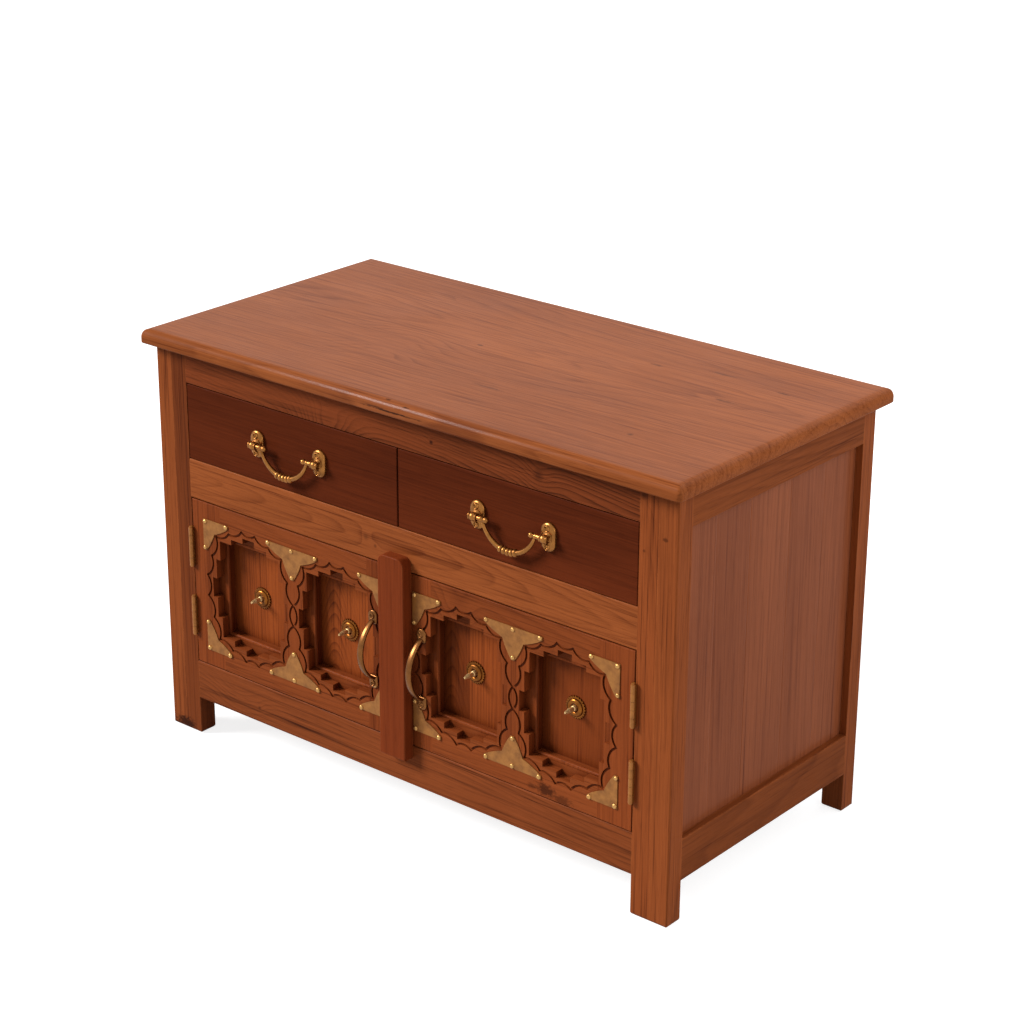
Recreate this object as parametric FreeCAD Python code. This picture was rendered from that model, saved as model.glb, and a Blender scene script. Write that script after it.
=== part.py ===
"""Carved storage cabinet: two drawers above a pair of carved doors, on post legs.

Millimetres, +Z up, front towards -Y. Every piece is drawn with the front face of the
case frame at y = 0 and depth along +Y. The whole is moved at the end, so that the
origin lies on the floor under the middle of the cabinet.
"""
import FreeCAD, Part
import math
import os

V = FreeCAD.Vector
NEAR = 0.01  # two places closer than this are one place
SIDES = {"left": -1, "right": 1}

# Case frame
CASE_WIDTH = 874.0
CASE_DEPTH = 418.0
FOOT_HEIGHT = 56.0
BOTTOM_RAIL_HEIGHT = 58.0
DOOR_OPENING_HEIGHT = 246.0
MID_RAIL_HEIGHT = 56.0
DRAWER_OPENING_HEIGHT = 108.0
TOP_RAIL_HEIGHT = 46.0
POST_WIDTH = 28.0
POST_DEPTH = 27.0
STILE_WIDTH = 28.0
BACK_POST_WIDTH = 32.0
FRONT_RAIL_THICKNESS = 25.0
SIDE_RAIL_THICKNESS = 25.0
BACK_RAIL_THICKNESS = 22.0
TENON_LENGTH = 12.0
TENON_THICKNESS = 9.0
TENON_SHOULDER = 8.0
POST_ARRIS = 2.5
FOOT_ROUNDING = 4.5
RAIL_ARRIS = 1.5

# Boards of the case
TOP_THICKNESS = 20.0
TOP_SIDE_OVERHANG = 13.0
TOP_FRONT_OVERHANG = 17.5
TOP_BACK_OVERHANG = 22.0
TOP_ROUNDING = 12.0
TOP_UNDER_ARRIS = 2.0
SIDE_PANEL_THICKNESS = 9.0
SIDE_PANEL_RECESS = 10.0
BACK_PANEL_THICKNESS = 6.0
BACK_PANEL_RECESS = 8.0
PANEL_TONGUE = 6.0
FLOOR_THICKNESS = 12.0
FLOOR_DROP = 4.0
FLOOR_TONGUE = 5.0
DECK_THICKNESS = 12.0
DECK_LAP = 8.0
DECK_TONGUE = 17.0
DIVIDER_THICKNESS = 14.0
RUNNER_BELOW_DECK = 20.0
RUNNER_ABOVE_DECK = 30.0
STOP_THICKNESS = 15.0
STOP_HANG = 18.0
STOP_END_MARGIN = 6.0
STOP_GAP = 0.4

# Drawers
DRAWER_GAP = 1.0
DRAWER_FRONT_THICKNESS = 20.0
DRAWER_ARRIS = 1.2
DRAWER_SIDE_THICKNESS = 12.0
DRAWER_SIDE_DROP = 24.0
DRAWER_SIDE_GAP = 1.5
DRAWER_LIFT = 0.3
DRAWER_LAP = 10.0
DRAWER_END_CLEARANCE = 18.0
DRAWER_BACK_THICKNESS = 12.0
DRAWER_BACK_INSET = 8.0
DRAWER_BACK_HOUSING = 4.0
DRAWER_BACK_DROP = 6.0
DRAWER_BOTTOM_THICKNESS = 5.0
DRAWER_BOTTOM_LIFT = 8.0
DRAWER_BOTTOM_TONGUE = 5.0
DRAWER_STOP_GAP = 0.3

# Drawer pulls
BAIL_PITCH = 112.0
BAIL_DROP_FROM_MIDDLE = 0.0
BAIL_PLATE_WIDTH = 22.5
BAIL_PLATE_HEIGHT = 38.5
BAIL_PLATE_THICKNESS = 5.0
BAIL_PLATE_ARRIS = 2.0
BAIL_BOSS_RADIUS = 5.0
BAIL_EYE_REACH = 10.5
BAIL_PIN_RADIUS = 2.4
BAIL_PIN_PAST = 4.0
BAIL_ROD_RADIUS = 3.4
BAIL_END_RADIUS = 2.0
BAIL_SECTIONS = 8
BAIL_SPAN = 84.0
BAIL_DROP = 32.0
BAIL_KNOB_RADIUS = 3.4
BAIL_KNOB_INSET = 5.5
GRIP_RINGS = 5
GRIP_RING_RADIUS = 4.6
GRIP_RING_WIDTH = 3.8
GRIP_RING_PITCH = 5.0
BAIL_SCREW_PITCH = 24.0
BAIL_SCREW_HEAD_RADIUS = 3.6
BAIL_SCREW_HEAD_HEIGHT = 1.8
BAIL_SCREW_RADIUS = 1.6
BAIL_SCREW_LENGTH = 14.0

# Doors
DOOR_GAP = 1.5
DOOR_PROUD = 0.4
DOOR_THICKNESS = 35.0
DOOR_ARRIS = 1.0
DOOR_STILE_WIDTH = 53.5
DOOR_RAIL_WIDTH = 51.9
DOOR_MUNTIN_WIDTH = 56.2
DOOR_LOCK_MARGIN = 56.0
DOOR_LOCK_BEVEL = 3.5
DOOR_TENON_LENGTH = 14.0
DOOR_TENON_SHOULDER = 9.0
DOOR_PANEL_SETBACK = 24.5
DOOR_PANEL_THICKNESS = 8.0
DOOR_PANEL_TONGUE = 7.0

# Carving round each door panel
STEP_RUNS = 5
STEP_REVEAL = 2.0
STEP_RISE = 8.0
STEP_DEPTH = 12.0
PETALS = 5
PETAL_SIDE_MARGIN = 9.2
PETAL_END_MARGIN = 7.4
PETAL_END_RISE = 9.7
PETAL_SIDE_BULGE = 6.5
PETAL_END_BULGE = 4.5
GROOVE_WIDTH = 3.2
GROOVE_DEPTH = 2.2

# Centre post on the right door
CENTRE_POST_WIDTH = 44.0
CENTRE_POST_THICKNESS = 16.0
CENTRE_POST_UP = 20.5
CENTRE_POST_DOWN = 17.0
CENTRE_POST_ROUNDING = 11.0
CENTRE_POST_ARRIS = 1.5
CENTRE_POST_COVER = 1.5
CENTRE_POST_GAP = 2.2

# Brass corner plates, their nails and the panel rosettes
PLATE_THICKNESS = 1.2
PLATE_EDGE_MARGIN = 21.5
PLATE_END_MARGIN = 23.5
PLATE_POST_MARGIN = 2.5
PLATE_LENGTH = 47.0
PLATE_HEIGHT = 45.5
PLATE_TIP = 5.0
PLATE_CARVING_MARGIN = 2.0
PLATE_BULGE = 1.6
NAIL_HEAD_RADIUS = 3.4
NAIL_HEAD_HEIGHT = 2.2
NAIL_RADIUS = 0.9
NAIL_LENGTH = 10.0
NAIL_INSET = 3.5
FIXING_CLEARANCE = 0.05
ROSETTE_RADIUS = 15.8
ROSETTE_THICKNESS = 1.6
ROSETTE_TEETH = 24
ROSETTE_NOTCH_RADIUS = 1.1
ROSETTE_RING_RADIUS = 8.4
ROSETTE_RING_ROUND = 3.8
ROSETTE_PIN_RADIUS = 2.4
ROSETTE_PIN_LENGTH = 23.0
ROSETTE_PIN_POINT = 8.0
ROSETTE_DROPS = {"left": (3.9, 4.6), "right": (-1.5, -4.7)}  # inner and outer panel, set by eye

# Door pulls
PULL_FROM_CENTRE = {"left": 44.5, "right": 39.5}
PULL_DROP_FROM_MIDDLE = 6.0
PULL_PITCH = 98.0
PULL_REACH = 29.0
PULL_BOW_THICKNESS = 5.0
PULL_BOW_END = 6.0
PULL_BOW_WIDTH = 9.5
PULL_BOW_NECK = 5.5
PULL_BOW_ARRIS = 1.5
PULL_FOOT_WIDTH = 16.0
PULL_FOOT_HEIGHT = 21.0
PULL_FOOT_THICKNESS = 2.6
PULL_SCREW_HEAD_RADIUS = 3.2
PULL_SCREW_HEAD_HEIGHT = 1.8
PULL_SCREW_RADIUS = 1.5
PULL_SCREW_LENGTH = 14.0

# Butt hinges
HINGE_HEIGHT = 56.5
HINGE_SPACING = 103.0
HINGE_DROP_FROM_MIDDLE = 0.0
HINGE_KNUCKLES = 5
HINGE_KNUCKLE_RADIUS = 3.3
HINGE_KNUCKLE_GAP = 0.4
HINGE_STAND_OFF = 0.3
HINGE_LEAF_THICKNESS = 2.0
HINGE_LEAF_GAP = 0.3
HINGE_LEAF_REACH = 22.0
HINGE_PIN_RADIUS = 1.6
HINGE_PIN_HEAD_RADIUS = 2.3
HINGE_PIN_HEAD_HEIGHT = 1.8
RUNNING_CLEARANCE = 0.05

# Levels and faces that follow from the sizes
HALF_WIDTH = CASE_WIDTH / 2
POST_INNER = HALF_WIDTH - POST_WIDTH
OPENING_HALF = POST_INNER - STILE_WIDTH
BACK_POST_INNER = HALF_WIDTH - BACK_POST_WIDTH
BACK_POST_FRONT = CASE_DEPTH - POST_DEPTH
BACK_RAIL_FRONT = CASE_DEPTH - BACK_RAIL_THICKNESS
SIDE_RAIL_INNER = HALF_WIDTH - SIDE_RAIL_THICKNESS
SIDE_PANEL_OUTER = HALF_WIDTH - SIDE_PANEL_RECESS
SIDE_PANEL_INNER = SIDE_PANEL_OUTER - SIDE_PANEL_THICKNESS
BACK_PANEL_BACK = CASE_DEPTH - BACK_PANEL_RECESS
BACK_PANEL_FRONT = BACK_PANEL_BACK - BACK_PANEL_THICKNESS
DRAWER_LENGTH = BACK_PANEL_FRONT - DRAWER_END_CLEARANCE
DRAWER_SIDE_HEIGHT = DRAWER_OPENING_HEIGHT - DRAWER_SIDE_DROP
DOOR_LOW = FOOT_HEIGHT + BOTTOM_RAIL_HEIGHT
DOOR_HIGH = DOOR_LOW + DOOR_OPENING_HEIGHT
DRAWER_LOW = DOOR_HIGH + MID_RAIL_HEIGHT
DRAWER_HIGH = DRAWER_LOW + DRAWER_OPENING_HEIGHT
CASE_HIGH = DRAWER_HIGH + TOP_RAIL_HEIGHT
DECK_LOW = DRAWER_LOW - DECK_THICKNESS
DIVIDER_HALF = DIVIDER_THICKNESS / 2
DOOR_MIDDLE = (DOOR_LOW + DOOR_HIGH) / 2
LEAF_LOW = DOOR_LOW + DOOR_GAP
LEAF_HIGH = DOOR_HIGH - DOOR_GAP
LEAF_EDGE = OPENING_HALF - DOOR_GAP
LEAF_FRONT = -DOOR_PROUD
LEAF_BACK = LEAF_FRONT + DOOR_THICKNESS
PANEL_FRONT = LEAF_FRONT + DOOR_PANEL_SETBACK
PANEL_BACK = PANEL_FRONT + DOOR_PANEL_THICKNESS
LIGHT_OUTER = LEAF_EDGE - DOOR_STILE_WIDTH
LIGHT_LOW = LEAF_LOW + DOOR_RAIL_WIDTH
LIGHT_HIGH = LEAF_HIGH - DOOR_RAIL_WIDTH
LIGHT_HALF_WIDTH = (LIGHT_OUTER - DOOR_LOCK_MARGIN - DOOR_MUNTIN_WIDTH) / 4
LIGHT_HALF_HEIGHT = (LIGHT_HIGH - LIGHT_LOW) / 2
LIGHT_MIDDLES = (DOOR_LOCK_MARGIN + LIGHT_HALF_WIDTH, LIGHT_OUTER - LIGHT_HALF_WIDTH)
MUNTIN_MIDDLE = sum(LIGHT_MIDDLES) / len(LIGHT_MIDDLES)
PETAL_CORNER_X = LIGHT_HALF_WIDTH + PETAL_SIDE_MARGIN
PETAL_CORNER_Z = LIGHT_HALF_HEIGHT + PETAL_END_MARGIN
PETAL_SIDE_RISE = (MUNTIN_MIDDLE - LIGHT_MIDDLES[0] - PETAL_CORNER_X) / (PETALS // 2)
CENTRE_POST_HALF = CENTRE_POST_WIDTH / 2
HINGE_X = OPENING_HALF - DOOR_GAP / 2
HINGE_Y = LEAF_FRONT - HINGE_STAND_OFF - HINGE_KNUCKLE_RADIUS
DRAWER_MIDDLE_X = OPENING_HALF / 2
BAIL_Z = (DRAWER_LOW + DRAWER_HIGH) / 2 - BAIL_DROP_FROM_MIDDLE
BAIL_Y = -BAIL_EYE_REACH
PULL_Z = DOOR_MIDDLE - PULL_DROP_FROM_MIDDLE
FRONT_REACH = max(TOP_FRONT_OVERHANG, DOOR_PROUD + PULL_REACH)
ORIGIN_SHIFT = V(0, (FRONT_REACH - CASE_DEPTH - TOP_BACK_OVERHANG) / 2, 0)


def block(x0, x1, y0, y1, z0, z1):
    """Upright block between two corners; the ends of a pair come in either order."""
    low = V(min(x0, x1), min(y0, y1), min(z0, z1))
    return Part.makeBox(abs(x1 - x0), abs(y1 - y0), abs(z1 - z0), low)


def rod(radius, start, end):
    """Round bar from start to end."""
    axis = end.sub(start)
    return Part.makeCylinder(radius, axis.Length, start, axis)


def outline(start, *steps):
    """Closed wire: a step of one point is a straight run, of two an arc through the first."""
    edges = []
    here = start
    for step in steps + ((start,),):
        there = step[-1]
        if there.isEqual(here, NEAR):
            continue
        if len(step) == 1:
            edges.append(Part.makeLine(here, there))
        else:
            edges.append(Part.Arc(here, step[0], there).toShape())
        here = there
    return Part.Wire(edges)


def turned(wire):
    """Solid turned about the Y axis from an outline drawn in the XY plane."""
    return Part.Face(wire).revolve(V(0, 0, 0), V(0, 1, 0), 360)


def main_solid(shape):
    """The largest solid of a shape, without seams in its flat faces."""
    return max(shape.removeSplitter().Solids, key=lambda solid: solid.Volume)


def joined(*shapes):
    """Shapes that touch or overlap, as one solid."""
    return main_solid(shapes[0].fuse(list(shapes[1:])))


def without(shape, tools):
    """The shape with the tools cut away."""
    return main_solid(shape.cut(list(tools)))


def group(shapes):
    """Separate solids that are kept as one node."""
    return Part.makeCompound(list(shapes))


def matches(point, place):
    """Whether a point has the coordinates that a place names."""
    return all(abs(getattr(point, axis) - value) < NEAR for axis, value in place.items())


def eased(shape, radius, *places):
    """The shape with rounded edges: those whose middle lies at one of the places."""
    edges = [e for e in shape.Edges if any(matches(e.CenterOfMass, p) for p in places)]
    return shape.makeFillet(radius, edges)


def stud(head_radius, head_height, shank_radius, shank_length):
    """Round-headed nail or screw: head towards -Y from y = 0, shank into +Y."""
    ball = (head_radius ** 2 + head_height ** 2) / (2 * head_height)
    half = math.asin(head_radius / ball) / 2
    crown = V(ball * math.sin(half), ball - head_height - ball * math.cos(half), 0)
    return turned(outline(
        V(0, -head_height, 0),
        (V(0, shank_length, 0),),
        (V(shank_radius, shank_length, 0),),
        (V(shank_radius, 0, 0),),
        (V(head_radius, 0, 0),),
        (crown, V(0, -head_height, 0)),
    ))


def stud_hole(shank_radius, shank_length, place):
    """Hole that a stud's shank sits in, with a close clearance and a flat end."""
    return rod(shank_radius + FIXING_CLEARANCE, place, place.add(V(0, shank_length, 0)))


def lozenge(width, height, thickness, place):
    """Plate with round ends, upright, its back on place and its face towards -Y."""
    radius = width / 2
    rise = height / 2 - radius
    wire = outline(
        place.add(V(-radius, 0, -rise)),
        (place.add(V(-radius, 0, rise)),),
        (place.add(V(0, 0, rise + radius)), place.add(V(radius, 0, rise))),
        (place.add(V(radius, 0, -rise)),),
        (place.add(V(0, 0, -rise - radius)), place.add(V(-radius, 0, -rise))),
    )
    return Part.Face(wire).extrude(V(0, -thickness, 0))


def foot_sliver(start, end, inward):
    """What wear takes off the lower edge of a foot between two corners, to leave it round."""
    rise = inward.add(V(0, 0, 1)) * FOOT_ROUNDING
    far = end.add(rise)
    bar = block(start.x, far.x, start.y, far.y, start.z, far.z)
    return bar.cut(rod(FOOT_ROUNDING, start.add(rise), far))


def leg(x0, x1, y0, y1, arrises, worn):
    """Upright from the floor to the top, with eased arrises; its foot is worn at front, back and each worn x."""
    low, high = min(x0, x1), max(x0, x1)
    slivers = [
        foot_sliver(V(low, y0, 0), V(high, y0, 0), V(0, 1, 0)),
        foot_sliver(V(low, y1, 0), V(high, y1, 0), V(0, -1, 0)),
    ]
    for x in worn:
        slivers.append(foot_sliver(V(x, y0, 0), V(x, y1, 0), V(1 if x == low else -1, 0, 0)))
    upright = block(low, high, y0, y1, 0, CASE_HIGH)
    if arrises:
        upright = eased(upright, POST_ARRIS, *arrises)
    return without(upright, slivers)


def rail_across(half, y0, y1, z0, z1, arrises):
    """Rail along X with a tenon on each end; arrises are the eased long edges."""
    middle = (y0 + y1) / 2
    body = eased(block(-half, half, y0, y1, z0, z1), RAIL_ARRIS, *arrises)
    tenon = block(
        -half - TENON_LENGTH, half + TENON_LENGTH,
        middle - TENON_THICKNESS / 2, middle + TENON_THICKNESS / 2,
        z0 + TENON_SHOULDER, z1 - TENON_SHOULDER,
    )
    return joined(body, tenon)


def side_rail(side, z0, z1, arrises):
    """Rail along Y between two posts, with a tenon on each end."""
    middle = side * (HALF_WIDTH - SIDE_RAIL_THICKNESS / 2)
    body = block(side * SIDE_RAIL_INNER, side * HALF_WIDTH, POST_DEPTH, BACK_POST_FRONT, z0, z1)
    body = eased(body, RAIL_ARRIS, *arrises)
    tenon = block(
        middle - TENON_THICKNESS / 2, middle + TENON_THICKNESS / 2,
        POST_DEPTH - TENON_LENGTH, BACK_POST_FRONT + TENON_LENGTH,
        z0 + TENON_SHOULDER, z1 - TENON_SHOULDER,
    )
    return joined(body, tenon)


def case_frame():
    """Posts, stiles, rails and panels of the case, each cut for what it holds."""
    pieces = {}
    front_rails = {
        "front_top_rail": (DRAWER_HIGH, CASE_HIGH, [DRAWER_HIGH]),
        "front_mid_rail": (DOOR_HIGH, DRAWER_LOW, [DOOR_HIGH, DRAWER_LOW]),
        "front_bottom_rail": (FOOT_HEIGHT, DOOR_LOW, [FOOT_HEIGHT, DOOR_LOW]),
    }
    for name, (low, high, levels) in front_rails.items():
        arrises = [{"y": 0, "z": level} for level in levels]
        pieces[name] = rail_across(OPENING_HALF, 0, FRONT_RAIL_THICKNESS, low, high, arrises)
    fronts = [pieces[name] for name in front_rails]

    back_panel = block(
        -BACK_POST_INNER - PANEL_TONGUE, BACK_POST_INNER + PANEL_TONGUE,
        BACK_PANEL_FRONT, BACK_PANEL_BACK,
        DOOR_LOW - PANEL_TONGUE, DRAWER_HIGH + PANEL_TONGUE,
    )
    backs = []
    for low, high, inner in [(FOOT_HEIGHT, DOOR_LOW, DOOR_LOW), (DRAWER_HIGH, CASE_HIGH, DRAWER_HIGH)]:
        arris = {"y": CASE_DEPTH, "z": inner}
        rail = rail_across(BACK_POST_INNER, BACK_RAIL_FRONT, CASE_DEPTH, low, high, [arris])
        backs.append(without(rail, [back_panel]))
    pieces["back_panel"] = back_panel

    floor = block(
        -SIDE_RAIL_INNER - FLOOR_TONGUE, SIDE_RAIL_INNER + FLOOR_TONGUE,
        FRONT_RAIL_THICKNESS - FLOOR_TONGUE, BACK_RAIL_FRONT + FLOOR_TONGUE,
        DOOR_LOW - FLOOR_DROP - FLOOR_THICKNESS, DOOR_LOW - FLOOR_DROP,
    )
    uprights = []
    for name, side in SIDES.items():
        outer = side * HALF_WIDTH
        panel = block(
            side * SIDE_PANEL_INNER, side * SIDE_PANEL_OUTER,
            POST_DEPTH - PANEL_TONGUE, BACK_POST_FRONT + PANEL_TONGUE,
            DOOR_LOW - PANEL_TONGUE, DRAWER_HIGH + PANEL_TONGUE,
        )
        bottom_edges = [{"x": outer, "z": FOOT_HEIGHT}, {"x": outer, "z": DOOR_LOW}]
        top_edges = [{"x": outer, "z": DRAWER_HIGH}]
        bottom_rail = side_rail(side, FOOT_HEIGHT, DOOR_LOW, bottom_edges)
        top_rail = side_rail(side, DRAWER_HIGH, CASE_HIGH, top_edges)
        seam = side * POST_INNER
        inner = side * OPENING_HALF
        back_inner = side * BACK_POST_INNER
        front_post = leg(seam, outer, 0, POST_DEPTH, [{"x": outer, "y": 0}], [outer])
        back_post = leg(
            back_inner, outer, BACK_POST_FRONT, CASE_DEPTH, [{"x": outer, "y": CASE_DEPTH}], [back_inner, outer],
        )
        stile = leg(inner, seam, 0, POST_DEPTH, [], [inner])
        rails = [bottom_rail, top_rail]
        pieces["front_%s_post" % name] = without(front_post, rails + [panel])
        pieces["back_%s_post" % name] = without(back_post, rails + [panel, back_panel] + backs)
        pieces["front_%s_stile" % name] = without(stile, fronts)
        pieces["%s_side_top_rail" % name] = without(top_rail, [panel])
        pieces["%s_side_bottom_rail" % name] = without(bottom_rail, [panel, floor])
        pieces["%s_side_panel" % name] = panel
        uprights += [front_post, back_post, stile]
    pieces["cupboard_floor"] = without(floor, uprights)
    pieces["front_bottom_rail"] = without(pieces["front_bottom_rail"], [floor])
    pieces["back_rails"] = group([without(backs[0], [floor]), backs[1]])
    return pieces


def top_board():
    """Top with a wide rounding over its upper edges and a small one below."""
    half = HALF_WIDTH + TOP_SIDE_OVERHANG
    front = -TOP_FRONT_OVERHANG
    back = CASE_DEPTH + TOP_BACK_OVERHANG
    high = CASE_HIGH + TOP_THICKNESS
    board = block(-half, half, front, back, CASE_HIGH, high)
    upper = [{"x": -half, "z": high}, {"x": half, "z": high}, {"y": front, "z": high}, {"y": back, "z": high}]
    lower = [dict(place, z=CASE_HIGH) for place in upper]
    return eased(eased(board, TOP_ROUNDING, *upper), TOP_UNDER_ARRIS, *lower)


def drawer_housing(pieces):
    """Deck, divider and runners for the drawers, and the stop for the doors."""
    deck = block(
        -OPENING_HALF - DECK_TONGUE, OPENING_HALF + DECK_TONGUE,
        FRONT_RAIL_THICKNESS - DECK_LAP, BACK_PANEL_FRONT, DECK_LOW, DRAWER_LOW,
    )
    runners = []
    for name, side in SIDES.items():
        runner = block(
            side * OPENING_HALF, side * SIDE_PANEL_INNER, POST_DEPTH, BACK_POST_FRONT,
            DECK_LOW - RUNNER_BELOW_DECK, DRAWER_LOW + RUNNER_ABOVE_DECK,
        )
        runners.append(without(runner, [deck]))
    stiles = [pieces["front_%s_stile" % name] for name in SIDES]
    divider = block(
        -DIVIDER_HALF, DIVIDER_HALF,
        DRAWER_FRONT_THICKNESS + DRAWER_STOP_GAP, BACK_RAIL_FRONT, DRAWER_LOW, CASE_HIGH,
    )
    stop = block(
        -LEAF_EDGE + STOP_END_MARGIN, LEAF_EDGE - STOP_END_MARGIN,
        LEAF_BACK + STOP_GAP, LEAF_BACK + STOP_GAP + STOP_THICKNESS,
        LEAF_HIGH - STOP_HANG, DECK_LOW,
    )
    pieces["drawer_divider"] = without(divider, [pieces["front_top_rail"]])
    pieces["front_mid_rail"] = without(pieces["front_mid_rail"], [deck])
    pieces["drawer_deck"] = without(deck, stiles)
    pieces["drawer_runners"] = group(runners)
    pieces["door_stop"] = stop


def bail(middle):
    """Hanging handle: a bow that thins to its ends, a pin and a knob on each, rings on the grip."""
    half = BAIL_SPAN / 2
    radius = (half ** 2 + BAIL_DROP ** 2) / (2 * BAIL_DROP)
    centre = middle.add(V(0, 0, radius - BAIL_DROP))
    lowest = middle.sub(V(0, 0, BAIL_DROP))
    swing = math.degrees(math.asin(half / radius))
    sections = []
    for index in range(BAIL_SECTIONS + 1):
        share = 2 * index / BAIL_SECTIONS - 1
        thick = BAIL_ROD_RADIUS + (BAIL_END_RADIUS - BAIL_ROD_RADIUS) * share ** 2
        ring = Part.Circle(lowest, V(1, 0, 0), thick).toShape()
        sections.append(Part.Wire(ring.rotated(centre, V(0, 1, 0), share * swing)))
    shapes = [Part.makeLoft(sections, True)]
    for side in SIDES.values():
        inner = middle.add(V(side * (half - BAIL_KNOB_INSET), 0, 0))
        outer = middle.add(V(side * (BAIL_PITCH / 2 + BAIL_PIN_PAST), 0, 0))
        shapes.append(rod(BAIL_PIN_RADIUS, inner, outer))
        shapes.append(Part.makeSphere(BAIL_KNOB_RADIUS, inner))
    for index in range(GRIP_RINGS):
        turn = (index - (GRIP_RINGS - 1) / 2) * GRIP_RING_PITCH / radius
        reach = V(math.sin(turn), 0, -math.cos(turn)).multiply(radius)
        line = V(math.cos(turn), 0, math.sin(turn)).multiply(GRIP_RING_WIDTH / 2)
        spot = centre.add(reach)
        shapes.append(rod(GRIP_RING_RADIUS, spot.sub(line), spot.add(line)))
    return joined(*shapes)


def bail_plate(place):
    """Back plate with a ball-ended boss, bored along X for the pin of the bail."""
    face = place.y - BAIL_PLATE_THICKNESS
    plate = lozenge(BAIL_PLATE_WIDTH, BAIL_PLATE_HEIGHT, BAIL_PLATE_THICKNESS, place)
    rim = [e for e in plate.Edges if matches(e.CenterOfMass, {"y": face})]
    plate = plate.makeFillet(BAIL_PLATE_ARRIS, rim)
    eye = place.sub(V(0, BAIL_EYE_REACH, 0))
    boss = rod(BAIL_BOSS_RADIUS, place, eye)
    ball = Part.makeSphere(BAIL_BOSS_RADIUS, eye)
    across = V(BAIL_PLATE_WIDTH, 0, 0)
    bore = rod(BAIL_PIN_RADIUS + RUNNING_CLEARANCE, eye.sub(across), eye.add(across))
    return without(joined(plate, boss, ball), [bore])


def drawer(side):
    """One drawer with its box, pull plates, screws and bail."""
    low = DRAWER_LOW + DRAWER_LIFT
    outer = OPENING_HALF - DRAWER_SIDE_GAP
    inner = DIVIDER_HALF + DRAWER_SIDE_GAP
    front_low = DRAWER_LOW + DRAWER_GAP
    front_high = DRAWER_HIGH - DRAWER_GAP
    front_ends = (side * DRAWER_GAP, side * (OPENING_HALF - DRAWER_GAP))
    front = eased(
        block(*front_ends, 0, DRAWER_FRONT_THICKNESS, front_low, front_high), DRAWER_ARRIS,
        {"x": front_ends[0], "y": 0}, {"x": front_ends[1], "y": 0},
        {"y": 0, "z": front_low}, {"y": 0, "z": front_high},
    )
    lap = DRAWER_FRONT_THICKNESS - DRAWER_LAP
    walls = [
        block(
            side * wall, side * (wall + turn * DRAWER_SIDE_THICKNESS),
            lap, DRAWER_LENGTH, low, low + DRAWER_SIDE_HEIGHT,
        )
        for wall, turn in [(inner, 1), (outer, -1)]
    ]
    faces = (inner + DRAWER_SIDE_THICKNESS, outer - DRAWER_SIDE_THICKNESS)
    bottom_low = low + DRAWER_BOTTOM_LIFT
    bottom_high = bottom_low + DRAWER_BOTTOM_THICKNESS
    bottom = block(
        side * (faces[0] - DRAWER_BOTTOM_TONGUE), side * (faces[1] + DRAWER_BOTTOM_TONGUE),
        DRAWER_FRONT_THICKNESS - DRAWER_BOTTOM_TONGUE, DRAWER_LENGTH, bottom_low, bottom_high,
    )
    back_end = DRAWER_LENGTH - DRAWER_BACK_INSET
    back = block(
        side * (faces[0] - DRAWER_BACK_HOUSING), side * (faces[1] + DRAWER_BACK_HOUSING),
        back_end - DRAWER_BACK_THICKNESS, back_end,
        bottom_high, low + DRAWER_SIDE_HEIGHT - DRAWER_BACK_DROP,
    )
    middle = V(side * DRAWER_MIDDLE_X, 0, BAIL_Z)
    plates = [middle.add(V(end * BAIL_PITCH / 2, 0, 0)) for end in SIDES.values()]
    spots = [
        plate.add(V(0, -BAIL_PLATE_THICKNESS, rise * BAIL_SCREW_PITCH / 2))
        for plate in plates for rise in SIDES.values()
    ]
    holes = [stud_hole(BAIL_SCREW_RADIUS, BAIL_SCREW_LENGTH, spot) for spot in spots]
    screw = stud(BAIL_SCREW_HEAD_RADIUS, BAIL_SCREW_HEAD_HEIGHT, BAIL_SCREW_RADIUS, BAIL_SCREW_LENGTH)
    return {
        "drawer_front": without(front, walls + [bottom] + holes),
        "drawer_sides": group(without(wall, [bottom, back]) for wall in walls),
        "drawer_back": back,
        "drawer_bottom": bottom,
        "pull_plates": group(without(bail_plate(plate), holes) for plate in plates),
        "pull_screws": group(screw.translated(spot) for spot in spots),
        "bail": bail(V(middle.x, BAIL_Y, BAIL_Z)),
    }


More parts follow.
